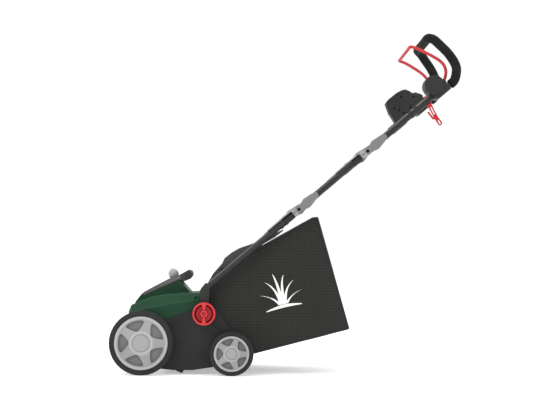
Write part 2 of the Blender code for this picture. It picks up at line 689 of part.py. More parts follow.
def straight_tube(name, base, u0, u1, y, side, pins, bores, pivot):
    tube = rod(on_handle(base, u0, 0, y), on_handle(base, u1, 0, y), TUBE_R, 24)
    ends = (on_handle(base, u0 - 0.01, 0, y), on_handle(base, u1 + 0.01, 0, y))
    cut(tube, rod(*ends, TUBE_R - TUBE_WALL, 24))
    for spot in bores:
        cut(tube, disc(spot, PIN_BORE, *sorted((side * 0.19, side * 0.24)), 16))
    for spot in pins:
        reach = sorted((side * (INNER_Y - 0.0090), side * (LEVER_Y - 0.0045)))
        join(tube, disc(spot, PIN_R, *reach, 16))
    node(tube, name, "tube", (pivot[0], y, pivot[1]))


def fold_saddle(name, base, side, y_in, y_out, axis_y):
    """Plate on the outer side of a tube at its fold with a spine along the top of the tube."""
    shell = handle_slab(base, SPINE_OUTLINE, *sorted((side * y_in, side * y_out)))
    y = side * axis_y
    cut(
        shell,
        rod(on_handle(base, -0.14, 0, y), on_handle(base, 0.04, 0, y), TUBE_R + 0.0004, 24),
        disc(base, PIN_BORE, *sorted((side * 0.18, side * 0.24)), 16),
    )
    node(shell, name, "saddle_grey")


def cam_lever(name, base, side):
    y = side * LEVER_Y
    paddle = handle_slab(base, LEVER_OUTLINE, y - LEVER_HALF_T, y + LEVER_HALF_T)
    join(paddle, rod(on_handle(base, 0, -0.0112, y), on_handle(base, 0, 0.0112, y), LEVER_HALF_T, 16))
    node(paddle, name, "hinge_grey", tuple(on_handle(base, 0, 0, y)))


def knob(label, side):
    near, far = KNOB_Y
    disc_part = turned([
        (0.0010, near), (KNOB_R - 0.003, near), (KNOB_R, near + 0.0040), (KNOB_R, far - 0.0020),
        (KNOB_R - 0.0020, far), (0.84 * KNOB_R, far), (0.80 * KNOB_R, far - 0.0060),
        (0.40 * KNOB_R, far - 0.0060), (0.36 * KNOB_R, far - 0.0010), (0.0010, far - 0.0010),
    ], HANDLE_PIVOT, side, 36)
    x, z = HANDLE_PIVOT
    y0, y1 = sorted((side * (far - 0.0080), side * (far - 0.0004)))
    join(
        disc_part,
        disc(HANDLE_PIVOT, 0.0120, *sorted((side * (near - 0.0040), side * (far - 0.0010))), 24),
        block(x - 0.0050, x + 0.0050, y0, y1, z - 0.86 * KNOB_R, z + 0.86 * KNOB_R),
    )
    cut(disc_part, disc(HANDLE_PIVOT, PIN_BORE, *sorted((side * 0.20, side * 0.2465)), 16))
    node(disc_part, "knob_" + label, "red", (x, 0, z))
    bolt = join(
        disc(HANDLE_PIVOT, PIN_R, *sorted((side * 0.1850, side * 0.2460)), 16),
        disc(HANDLE_PIVOT, 0.0080, *sorted((side * 0.1845, side * 0.1885)), 16),
    )
    node(bolt, "pivot_bolt_" + label, "steel")


def hub(label, side):
    """Clamp housing that joins the upper tube, the grip tube and the bail's pivot."""
    body = handle_slab(FOLD_HIGH, HUB_BODY, *sorted((side * HUB_Y[0], side * HUB_Y[1])))
    middle = on_handle(FOLD_HIGH, *HUB_DISC)
    spot = (middle.x, middle.z)
    join(
        body,
        disc(spot, HUB_DISC_R, *sorted((side * HUB_Y[0], side * (HUB_Y[1] + 0.0035))), 36),
        disc(BAIL_PIVOT, 0.0080, *sorted((side * HUB_Y[0], side * 0.2000)), 20),
    )
    y = side * OUTER_Y
    grip = [(x, -side * gy, z) for x, gy, z in GRIP_PATH[:2]]
    start = Vector(grip[0])
    along = (Vector(grip[1]) - start).normalized()
    cut(
        body,
        rod(
            on_handle(FOLD_HIGH, 0.20, 0, y), on_handle(FOLD_HIGH, UPPER_TUBE_LEN + 0.0005, 0, y),
            TUBE_R + 0.0003, 24,
        ),
        rod(start - along * 0.0005, start + along * 0.0800, GRIP_TUBE_R + 0.0003, 24),
        disc(BAIL_PIVOT, BAIL_R + RUN_GAP, *sorted((side * 0.17, side * 0.1880)), 16),
    )
    node(body, "hub_" + label, "graphite")


def mirrored(path):
    return path + [(x, -y, z) for x, y, z in reversed(path)]


def grip():
    whole = mirrored(GRIP_PATH)
    past = [
        tuple(Vector(whole[0]) * 2 - Vector(whole[1])), *whole[1:-1],
        tuple(Vector(whole[-1]) * 2 - Vector(whole[-2])),
    ]
    node(cut(swept(whole, GRIP_TUBE_R, 3), swept(past, GRIP_TUBE_R - TUBE_WALL, 3)), "grip_tube", "tube")
    start = Vector(whole[0])
    bend = Vector(whole[1])
    along = (bend - start).normalized()
    first = bend + along * 0.0022
    sleeve_path = [tuple(first)] + whole[2:-2] + [(first.x, -first.y, first.z)]
    inner_path = [tuple(bend - along * 0.0200)] + whole[1:-1] + [
        (bend.x - along.x * 0.0200, -bend.y, bend.z - along.z * 0.0200)
    ]
    sleeve = swept(sleeve_path, FOAM_R, 3)
    cut(sleeve, swept(inner_path, GRIP_TUBE_R + 0.0004, 3))
    node(sleeve, "grip_foam", "foam")


def bail():
    wire = swept(mirrored(BAIL_PATH), BAIL_R, 2)
    node(wire, "bail", "red", (BAIL_PIVOT[0], 0, BAIL_PIVOT[1]))


def switch_box():
    y0, y1 = BOX_Y
    body = slab(BOX_OUTLINE, y0 + BOX_COVER_T + 0.0004, y1)
    clamp = handle_slab(FOLD_HIGH, box_outline(0.1720, 0.2300, -0.0128, 0.0160), y1 - 0.002, OUTER_Y)
    y = OUTER_Y
    join(body, clamp)
    end = on_handle(FOLD_HIGH, 0.1600, 0.0030, 0.1530)
    nose = on_handle(FOLD_HIGH, 0.2100, 0.0030, 0.1530)
    join(body, rod(end, nose, 0.0130, 24))
    bx, by = BUTTON_AT
    cut(
        body,
        rod(on_handle(FOLD_HIGH, 0.10, 0, y), on_handle(FOLD_HIGH, 0.28, 0, y), TUBE_R + 0.0004, 24),
        rod(end - UP * 0.01, end + UP * 0.0200, 0.0100, 24),
        rod((bx, by, 0.9350), (bx, by, 0.9900), BUTTON_R + 0.0004, 20),
    )
    node(body, "switch_box", "graphite")
    cx = sum(x for x, z in BOX_OUTLINE) / len(BOX_OUTLINE)
    cz = sum(z for x, z in BOX_OUTLINE) / len(BOX_OUTLINE)
    lid = [(cx + 0.97 * (x - cx), cz + 0.97 * (z - cz)) for x, z in BOX_OUTLINE]
    plate = slab(lid, y0, y0 + BOX_COVER_T)
    node(plate, "switch_cover", "graphite")
    node(rod((bx, by, 0.9410), (bx, by, 0.9545), BUTTON_R, 20), "lock_button", "silver", (bx, by, 0.9480))


def cable_hook():
    """Slotted tongue under the left tube with a side prong."""
    top = [on_handle(FOLD_HIGH, u, -0.0117) for u in (0.2410, 0.2580)]
    outline = [(spot.x, spot.z) for spot in top] + HOOK_EDGE
    body = slab(outline, *HOOK_Y)
    for slot in (HOOK_SLOT, HOOK_EYE):
        cut(body, slab(slot, HOOK_Y[0] - 0.01, HOOK_Y[1] + 0.01))
    node(body, "cable_hook", "red")


def handle():
    for label, side in (("left", -1), ("right", 1)):
        lower_tube(label, side)
        length = (Vector(FOLD_HIGH) - Vector(FOLD_LOW)).length
        straight_tube(
            "mid_tube_" + label, FOLD_LOW, -TUBE_PAST_FOLD, length + TUBE_PAST_FOLD,
            side * INNER_Y, side, (FOLD_LOW, FOLD_HIGH), (), FOLD_LOW,
        )
        straight_tube(
            "upper_tube_" + label, FOLD_HIGH, -TUBE_PAST_FOLD, UPPER_TUBE_LEN,
            side * OUTER_Y, side, (), (FOLD_HIGH,), FOLD_HIGH,
        )
        fold_saddle("saddle_low_" + label, FOLD_LOW, side, OUTER_Y, 0.2285, OUTER_Y)
        fold_saddle("saddle_high_" + label, FOLD_HIGH, side, INNER_Y, 0.2005, INNER_Y)
        cam_lever("cam_low_" + label, FOLD_LOW, side)
        cam_lever("cam_high_" + label, FOLD_HIGH, side)
        knob(label, side)
        hub(label, side)
    grip()
    bail()
    switch_box()
    cable_hook()


# Bag and flap


def rear_flap():
    w = FLAP_HALF_W
    plate = slab(FLAP_OUTLINE, -w, w)
    join(
        plate,
        disc(FLAP_HINGE, 0.0045, -w, w, 20),
        disc(FLAP_HINGE, 0.0030, -0.1750, 0.1750, 14),
    )
    node(plate, "rear_flap", "graphite", (FLAP_HINGE[0], 0, FLAP_HINGE[1]))


def bag():
    w = BAG_HALF_W
    shell = slab(BAG_OUTLINE, -w, w)
    cut(shell, slab(BAG_INNER, -w + BAG_SKIN, w - BAG_SKIN))
    node(shell, "bag_shell", "fabric")
    inner_w = w - BAG_SKIN - 0.0005
    frame = block(-0.2275, -0.2205, -inner_w + 0.0010, inner_w - 0.0010, 0.1665 + 0.0090, 0.2840)
    cut(frame, block(-0.3000, -0.2000, -inner_w + 0.0130, inner_w - 0.0130, 0.1870, 0.2740))
    node(frame, "bag_frame", "graphite")


deck_housing()
motor_cover()
top_trim()
depth_lever()
motor()
belt_drive()
rotor()
running_gear()
handle()
rear_flap()
bag()
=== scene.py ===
import math

import bpy
from mathutils import Matrix, Vector, noise
from mathutils.bvhtree import BVHTree


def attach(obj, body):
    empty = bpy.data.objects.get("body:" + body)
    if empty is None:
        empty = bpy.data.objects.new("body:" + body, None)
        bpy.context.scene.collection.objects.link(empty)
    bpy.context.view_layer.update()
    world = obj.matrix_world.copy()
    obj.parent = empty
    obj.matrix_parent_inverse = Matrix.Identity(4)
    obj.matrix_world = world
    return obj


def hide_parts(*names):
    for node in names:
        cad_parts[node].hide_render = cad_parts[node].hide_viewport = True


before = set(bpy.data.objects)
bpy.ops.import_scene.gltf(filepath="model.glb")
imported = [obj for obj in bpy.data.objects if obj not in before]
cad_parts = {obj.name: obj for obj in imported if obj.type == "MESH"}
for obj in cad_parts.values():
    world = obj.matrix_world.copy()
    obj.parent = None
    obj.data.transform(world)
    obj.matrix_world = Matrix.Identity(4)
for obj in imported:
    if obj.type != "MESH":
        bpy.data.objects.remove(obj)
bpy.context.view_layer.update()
SIDES = (("left", -1), ("right", 1))

# Places and sizes, in metres, in the frame of the model; a pair is (x, z) unless it says otherwise

# Wheels: a level is measured along the axle from the outer face
FRONT_AXLE = (-0.4535, 0.1000)
FRONT_TYRE_R = 0.1000
FRONT_RIM_R = 0.0832
REAR_AXLE = (-0.1720, 0.0690)
REAR_TYRE_R = 0.0690
REAR_RIM_R = 0.0552
WHEEL_IN = 0.2080
WHEEL_OUT = 0.2530
WHEELS = (
    ("front", FRONT_AXLE, FRONT_TYRE_R, FRONT_RIM_R),
    ("rear", REAR_AXLE, REAR_TYRE_R, REAR_RIM_R),
)
RIM_BACK = 0.0030
RIM_WALL = 0.0080
RIM_DISC_LEVEL = -0.0160
RIM_HUB = [
    (0.050, -0.0060), (0.319, -0.0060), (0.323, -0.0026), (0.345, -0.0016), (0.365, -0.0022),
    (0.390, -0.0032), (0.450, -0.0032), (0.458, -0.0032),
]
RIM_LIP = [
    (0.852, -0.0031), (0.872, -0.0032), (0.884, -0.0034), (0.892, -0.0016), (0.905, -0.0010),
    (0.975, -0.0010), (0.995, -0.0016), (1.000, -0.0030),
]
SPOKES = 5
SPOKE_ZONE = (0.395, 0.88)
POCKET_ZONE = (0.466, 0.846)
POCKET_LEVEL = -0.0105
CAP_SHARE = 0.316

# Knobs: share of the radius and level of each ring, then pocket level, pocket part and solid part
KNOB_AT = (-0.2595, 0.1925)
KNOB_R = 0.0358
KNOB_Y = (0.2285, 0.2530)
KNOB_HUB = [
    (0.030, -0.0012, None, 1, 2), (0.100, -0.0012), (0.115, -0.0030, None, 1, 1), (0.150, -0.0030),
    (0.175, -0.0004), (0.300, -0.0002), (0.318, -0.0020, None, 1, 1), (0.345, -0.0020),
]
KNOB_RIDGES = [
    (0.365 + 0.040 * k, -0.0007, -0.0036 if k % 2 else -0.0052, 2, 0) for k in range(9)
]
KNOB_RING = [
    (0.700, -0.0006, -0.0085, 1, 0), (0.828, -0.0005, -0.0085, 1, 0), (0.840, -0.0003),
    (0.870, 0.0), (0.960, 0.0), (0.990, -0.0008), (1.000, -0.0024),
]

# Depth lever's ball, on its stem
BALL_CENTRE = (-0.3690, 0.3145)
BALL_R = 0.0175
STEM_FOOT = (-0.3550, 0.2360)
NECK_R = 0.0062

# Handle: outlines on it are (along, across) from a fold
HANDLE_SLOPE = math.radians(40.94)
FOLD_LOW = (0.0340, 0.5226)
FOLD_HIGH = (0.2496, 0.7096)
OUTER_Y = 0.2120
INNER_Y = 0.1880
TUBE_R = 0.0110
UP = Vector((math.cos(HANDLE_SLOPE), 0.0, math.sin(HANDLE_SLOPE)))
ACROSS = Vector((-math.sin(HANDLE_SLOPE), 0.0, math.cos(HANDLE_SLOPE)))
FOLDS = (
    ("low", FOLD_LOW, "lower_handle", OUTER_Y, "lower_handle", 0.2285),
    ("high", FOLD_HIGH, "mid_handle", INNER_Y, "upper_handle", 0.2290),
)
PIVOT_R = 0.0050
PIVOT_Y = (0.2330, 0.2382)
RIVETS = ((-0.0095, 0.0010, 0.0016), (-0.0175, 0.0010, 0.0030))
SLEEVE_U = (-0.0560, -0.0232)
SLEEVE_R = 0.0124
CHEEK_IN = 0.2236
CHEEK_OUTLINE = [
    (-0.0223, -0.0118), (0.0100, -0.0118), (0.0210, -0.0108), (0.0210, 0.0108), (0.0100, 0.0126),
    (-0.0223, 0.0150),
]
FOAM_R = 0.0152
FOAM_PATH = [
    (0.5161, -0.1950, 0.9305), (0.5300, -0.1950, 0.9440), (0.5365, -0.1940, 0.9650),
    (0.5375, -0.1900, 0.9880), (0.5295, -0.1810, 1.0110), (0.5150, -0.1690, 1.0365),
    (0.4935, -0.1540, 1.0630), (0.4740, -0.1400, 1.0850), (0.4620, -0.1250, 1.0930),
    (0.4570, -0.1080, 1.0945), (0.4570, -0.0540, 1.0945), (0.4570, 0.0, 1.0945),
]
BAIL_R = 0.0050
BAIL_PATH = [
    (0.4965, -0.1860, 0.9375), (0.4965, -0.1760, 0.9375), (0.4970, -0.1720, 0.9400),
    (0.5050, -0.1710, 0.9580), (0.5075, -0.1690, 0.9790), (0.5020, -0.1650, 0.9980),
    (0.4930, -0.1610, 1.0100), (0.4800, -0.1560, 1.0210), (0.4555, -0.1490, 1.0360),
    (0.4215, -0.1420, 1.0540), (0.4030, -0.1390, 1.0605), (0.3965, -0.1300, 1.0620),
    (0.3965, -0.0650, 1.0620), (0.3965, 0.0, 1.0620),
]

# Bag, switch box and plates
BAG_HALF_W = 0.1840
BAG_CENTRE = Vector((-0.0350, 0.2700))
BAG_CHAIN = [
    (-0.2375, 0.2000), (-0.2288, 0.1575), (-0.2016, 0.1356), (-0.1660, 0.1048),
    (-0.1400, 0.0860), (-0.1015, 0.0675), (0.1995, 0.1475), (0.0965, 0.5000),
    (0.0805, 0.4985), (-0.2080, 0.3345), (-0.2230, 0.3130), (-0.2405, 0.2850),
]
BAG_HOOK = [
    (-0.1080, 0.3925), (-0.0960, 0.3985), (-0.0940, 0.4040), (-0.1010, 0.4050), (-0.1100, 0.3985),
]
BOX_FACE = 0.1250
BOX_COVER = [
    (0.4010, 0.8380), (0.4700, 0.8985), (0.4840, 0.9150), (0.4835, 0.9264), (0.4778, 0.9440),
    (0.4640, 0.9495), (0.4500, 0.9490), (0.4400, 0.9510), (0.4325, 0.9565), (0.4180, 0.9620),
    (0.4050, 0.9590), (0.3872, 0.9492), (0.3594, 0.9262), (0.3510, 0.9140), (0.3636, 0.8803),
    (0.3882, 0.8430),
]
BOX_SCREWS = ((0.4022, 0.9342), (0.4461, 0.9360), (0.3787, 0.8952), (0.3966, 0.8881))
BOX_SCREW_R = 0.0030
BOX_BOSS = (0.4150, 0.8985)
BOX_GROOVE_R = 0.0205
FLAP_SKIRT = [
    (-0.2300, 0.2990), (-0.1900, 0.3340), (-0.1100, 0.3960), (-0.0250, 0.4455),
    (-0.0250, 0.4515), (-0.0790, 0.4248), (-0.1219, 0.4080), (-0.1498, 0.3984),
    (-0.1731, 0.3850), (-0.1965, 0.3658), (-0.2042, 0.3490), (-0.2300, 0.3200),
]
DECK_WING = [
    (-0.2560, 0.2130), (-0.2560, 0.1300), (-0.2000, 0.0900), (-0.1700, 0.0950),
    (-0.1560, 0.1180), (-0.1640, 0.1300), (-0.1722, 0.1405), (-0.1972, 0.1711),
    (-0.2210, 0.2012), (-0.2280, 0.2110),
]
SIDE_GUARD = [
    (-0.3600, 0.0300), (-0.2860, 0.0300), (-0.2880, 0.0218), (-0.3030, 0.0125),
    (-0.3232, 0.0125), (-0.3306, 0.0045), (-0.3386, 0.0075), (-0.3513, 0.0125),
]
HANDLE_FOOT = [
    (-0.2690, 0.2000), (-0.2470, 0.2000), (-0.2450, 0.2250), (-0.2435, 0.2650),
    (-0.2440, 0.2790), (-0.2560, 0.2895), (-0.2720, 0.2700), (-0.2745, 0.2560),
    (-0.2705, 0.2300),
]
STRUT = [(-0.3438, 0.2902), (-0.3416, 0.2922), (-0.3091, 0.2572), (-0.3113, 0.2552)]
STRUT_HALF_W = 0.0892
COVER_BOSS = (-0.2860, 0.2400)
SIDE_PLATES = (
    ("flap_skirt_", FLAP_SKIRT, (0.1580, 0.1636), 0.0008, "flap", "rear_flap"),
    ("deck_wing_", DECK_WING, (0.1890, 0.1915), 0.0008, "graphite", "chassis"),
    ("handle_foot_", HANDLE_FOOT, (0.2010, 0.2236), 0.0030, "graphite_soft", "lower_handle"),
    ("side_guard_", SIDE_GUARD, (0.1800, 0.1830), 0.0006, "graphite", "chassis"),
)
MARK_AT = (-0.0200, 0.2640)
MARK_TILT = math.radians(14.0)
MARK_SIZE = 0.1050
BLADES = (
    (-0.10, -0.62, 0.42, -0.30, 0.085), (-0.06, -0.40, 0.78, -0.10, 0.095),
    (-0.02, -0.12, 0.98, -0.02, 0.105), (0.03, 0.20, 0.88, 0.04, 0.100),
    (0.07, 0.46, 0.66, 0.12, 0.092), (0.11, 0.66, 0.34, 0.30, 0.080),
)

# Cloth
CLOTH_FRAMES = 20
CLOTH_PRESSURE = 3.2
CLOTH_LIMITS = (0.0065, 0.0090)
WEAVE_PITCH = 0.0090

# Studio
CAMERA_LENS = 36.0 * 1200.0 / 558.0
CAMERA_AT = Vector((-0.1510, -4.0, 0.3470))
CAMERA_RIGHT = Vector((0.999396, -0.032973, 0.010983))
CAMERA_FORWARD = Vector((0.032421, 0.998364, 0.047106))
FLOOR_REACH = 60.0
FLOOR_GLOW = 0.42
LAMPS = (
    ("key", (-2.0, -2.8, 3.0), (-0.1, 0.0, 0.4), 1.6, 42.0),
    ("fill", (2.6, -2.2, 1.6), (-0.1, 0.0, 0.4), 2.0, 12.0),
    ("top", (0.0, 0.4, 3.4), (-0.1, 0.0, 0.3), 2.4, 18.0),
    ("back", (0.8, 3.0, 2.2), (-0.1, 0.0, 0.5), 1.6, 16.0),
)

# Finishes


CREASE_WIDTH = 0.0050


def srgb(*parts):
    """Linear colour of 0-255 screen values."""
    return tuple(
        p / 255 / 12.92 if p < 11 else ((p / 255 + 0.055) / 1.055) ** 2.4 for p in parts
    )


class Finish:
    """A material under construction, with its coordinates and shader at hand."""

    def __init__(self, name, rough, metal=0.0, specular=0.5, coat=0.0, sheen=0.0):
        self.made = bpy.data.materials.new(name)
        self.made.use_nodes = True
        self.nodes = self.made.node_tree.nodes
        self.links = self.made.node_tree.links
        self.shader = self.nodes["Principled BSDF"]
        self.shader.inputs["Roughness"].default_value = rough
        self.shader.inputs["Metallic"].default_value = metal
        self.shader.inputs["Specular IOR Level"].default_value = specular
        self.shader.inputs["Coat Weight"].default_value = coat
        self.shader.inputs["Coat Roughness"].default_value = 0.25
        self.shader.inputs["Sheen Weight"].default_value = sheen
        self.coords = self.nodes.new("ShaderNodeTexCoord").outputs

    def noise(self, scale, detail=3.0, stretch=None):
        made = self.nodes.new("ShaderNodeTexNoise")
        made.inputs["Scale"].default_value = scale
        made.inputs["Detail"].default_value = detail
        source = self.coords["Object"]
        if stretch is not None:
            squeeze = self.nodes.new("ShaderNodeMapping")
            squeeze.inputs["Scale"].default_value = stretch
            self.links.new(source, squeeze.inputs["Vector"])
            source = squeeze.outputs["Vector"]
        self.links.new(source, made.inputs["Vector"])
        return made.outputs["Fac"]

    def cloud(self, scale, low=0.0, high=1.0):
        """Slow blotches between two values."""
        return self.span(self.noise(scale, 4.0), 0.3, 0.7, low, high)

    def math(self, how, a, b=0.0, c=0.0):
        made = self.nodes.new("ShaderNodeMath")
        made.operation = how
        for spot, value in zip(made.inputs, (a, b, c)):
            if isinstance(value, (int, float)):
                spot.default_value = value
            else:
                self.links.new(value, spot)
        return made.outputs[0]

    def span(self, value, low, high, to_low, to_high):
        made = self.nodes.new("ShaderNodeMapRange")
        made.inputs["From Min"].default_value = low
        made.inputs["From Max"].default_value = high
        made.inputs["To Min"].default_value = to_low
        made.inputs["To Max"].default_value = to_high
        self.links.new(value, made.inputs["Value"])
        return made.outputs["Result"]

    def blend(self, share, first, second):
        made = self.nodes.new("ShaderNodeMix")
        made.data_type = "RGBA"
        self.links.new(share, made.inputs["Factor"])
        for key, value in (("A", first), ("B", second)):
            spot = [s for s in made.inputs if s.name == key and s.type == "RGBA"][0]
            if isinstance(value, tuple):
                spot.default_value = (*value, 1.0)
            else:
                self.links.new(value, spot)
        return [s for s in made.outputs if s.type == "RGBA"][0]

    def axes(self, kind="Object"):
        made = self.nodes.new("ShaderNodeSeparateXYZ")
        self.links.new(self.coords[kind], made.inputs[0])
        return made.outputs

    def colour(self, source):
        self.links.new(source, self.shader.inputs["Base Color"])

    def rough(self, source):
        self.links.new(source, self.shader.inputs["Roughness"])

    def eased(self, radius, samples):
        """The normal as if the edges were rounded."""
        made = self.nodes.new("ShaderNodeBevel")
        made.samples = samples
        made.inputs["Radius"].default_value = radius
        return made.outputs["Normal"]

    def edges(self, radius):
        """Share of being on an edge or crease, from the eased and the plain normal."""
        plain = self.nodes.new("ShaderNodeNewGeometry")
        near = self.nodes.new("ShaderNodeVectorMath")
        near.operation = "DOT_PRODUCT"
        self.links.new(self.eased(radius, 8), near.inputs[0])
        self.links.new(plain.outputs["Normal"], near.inputs[1])
        return self.span(near.outputs["Value"], 0.970, 0.999, 1.0, 0.0)

    def bump(self, height, strength, distance, edge=0.0):
        made = self.nodes.new("ShaderNodeBump")
        made.inputs["Strength"].default_value = strength
        made.inputs["Distance"].default_value = distance
        self.links.new(height, made.inputs["Height"])
        if edge:
            self.links.new(self.eased(edge, 6), made.inputs["Normal"])
        self.links.new(made.outputs["Normal"], self.shader.inputs["Normal"])


def tone(colour, factor):
    return tuple(min(1.0, part * factor) for part in colour)


def moulded(name, colour, rough, grain=700.0, strength=0.25, distance=0.0004, vary=0.14,
            metal=0.0, specular=0.5, coat=0.0, edge=0.0, stretch=None, crease_highlight=0.0):
    """Moulded or coated surface: faint blotches, scuffed gloss, a fine grain and, when asked, a painted
    highlight on edges and creases.
    """
    look = Finish(name, rough, metal, specular, coat)
    fine = look.noise(grain, 3.0, stretch)
    base = look.blend(look.cloud(11.0), tone(colour, 1 - vary), tone(colour, 1 + vary))
    speck = look.span(fine, 0.55, 0.8, 0.0, 0.35)
    base = look.blend(speck, base, tone(colour, 1.35))
    # painted highlight: edges and creases turn paler, as where light catches them
    if crease_highlight:
        base = look.blend(look.edges(CREASE_WIDTH), base, tone(colour, crease_highlight))
    look.colour(base)
    scuff = look.noise(38.0, 5.0)
    look.rough(look.span(scuff, 0.3, 0.7, max(0.05, rough - 0.07), min(1.0, rough + 0.09)))
    look.bump(fine, strength, distance, edge)
    return look.made


def woven(name, colour, line_share, thread=0.0013):
    """Woven polyester with a coarse grid of lines over a fine plain weave."""
    look = Finish(name, 0.82, specular=0.22, sheen=0.05)
    place = look.axes()
    facing = look.axes("Normal")
    grid = None
    weave = None
    for i in range(3):
        side_on = look.math("SUBTRACT", 1.0, look.math("ABSOLUTE", facing[i]))
        near = look.math("PINGPONG", place[i], WEAVE_PITCH / 2)
        line = look.span(near, WEAVE_PITCH * 0.36, WEAVE_PITCH * 0.49, 0.0, 1.0)
        line = look.math("MULTIPLY", line, side_on)
        wave = look.math("SINE", look.math("MULTIPLY", place[i], 2 * math.pi / thread))
        wave = look.math("MULTIPLY", wave, side_on)
        grid = line if grid is None else look.math("MAXIMUM", grid, line)
        weave = wave if weave is None else look.math("ADD", weave, wave)
    base = look.blend(look.cloud(9.0), tone(colour, 0.86), tone(colour, 1.14))
    threads = look.span(weave, -1.5, 1.5, 0.0, 0.55)
    base = look.blend(threads, base, tone(colour, 1.55))
    share = look.math("MULTIPLY", grid, line_share)
    look.colour(look.blend(share, base, tone(colour, 0.35)))
    height = look.math("SUBTRACT", look.math("MULTIPLY", weave, 0.5), look.math("MULTIPLY", grid, 0.8))
    look.bump(height, 0.45, 0.0005)
    return look.made


def coated_tube(name, dark, highlight_colour):
    """Coated steel tube with a painted highlight: paler along its upper side, where light falls from
    above.
    """
    look = Finish(name, 0.42, specular=0.28, coat=0.05)
    facing = look.axes("Normal")
    # painted highlight: the more the normal faces up across the handle, the paler the tube
    lift = look.math("SUBTRACT", look.math("MULTIPLY", facing[2], ACROSS.z),
                     look.math("MULTIPLY", facing[0], -ACROSS.x))
    share = look.math("MULTIPLY", look.span(lift, 0.42, 0.78, 0.0, 1.0), look.cloud(14.0, 0.9, 1.12))
    fine = look.noise(1100.0, 3.0)
    speck = look.span(fine, 0.55, 0.8, 0.0, 0.35)
    base = look.blend(share, dark, highlight_colour)
    look.colour(look.blend(speck, base, tone(dark, 1.8)))
    look.rough(look.span(look.noise(38.0, 5.0), 0.3, 0.7, 0.36, 0.50))
    look.bump(fine, 0.18, 0.0003)
    return look.made


def foamed(name, colour):
    """Closed cell foam with small pores."""
    look = Finish(name, 0.9, specular=0.08, sheen=0.02)
    pores = look.nodes.new("ShaderNodeTexVoronoi")
    pores.inputs["Scale"].default_value = 620.0
    look.links.new(look.coords["Object"], pores.inputs["Vector"])
    dots = look.span(pores.outputs["Distance"], 0.0, 0.45, 0.0, 1.0)
    base = look.blend(look.cloud(20.0), tone(colour, 0.85), tone(colour, 1.2))
    look.colour(look.blend(dots, tone(colour, 0.5), base))
    look.bump(dots, 0.35, 0.0006)
    return look.made


def ramp_finish(name):
    """Mid grey ramp with a darker lower edge and a dark ribbed lip at its rear end."""
    look = Finish(name, 0.55, specular=0.2)
    x, _, z = look.axes()
    above = look.math("SUBTRACT", look.math("SUBTRACT", z, 0.2428),
                      look.math("MULTIPLY", look.math("ADD", x, 0.4565), 0.4579))
    low = look.span(above, 0.0040, 0.0062, 1.0, 0.0)
    along = look.math("ADD", look.math("MULTIPLY", look.math("ADD", x, 0.3415), 0.983),
                      look.math("MULTIPLY", look.math("SUBTRACT", z, 0.3015), 0.185))
    lip = look.span(along, -0.0008, 0.0008, 0.0, 1.0)
    cloud = look.cloud(25.0)
    grey = look.blend(cloud, srgb(88, 87, 88), srgb(106, 104, 106))
    grey = look.blend(low, grey, srgb(56, 56, 57))
    dark = look.blend(cloud, srgb(42, 42, 43), srgb(68, 68, 69))
    look.colour(look.blend(lip, grey, dark))
    ribs = look.math("PINGPONG", along, 0.0016)
    fine = look.noise(600.0, 3.0)
    mixed = look.math("ADD", look.math("MULTIPLY", look.math("MULTIPLY", ribs, lip), 500.0),
                      look.math("MULTIPLY", fine, 0.5))
    look.bump(mixed, 0.4, 0.0005, 0.0012)
    return look.made


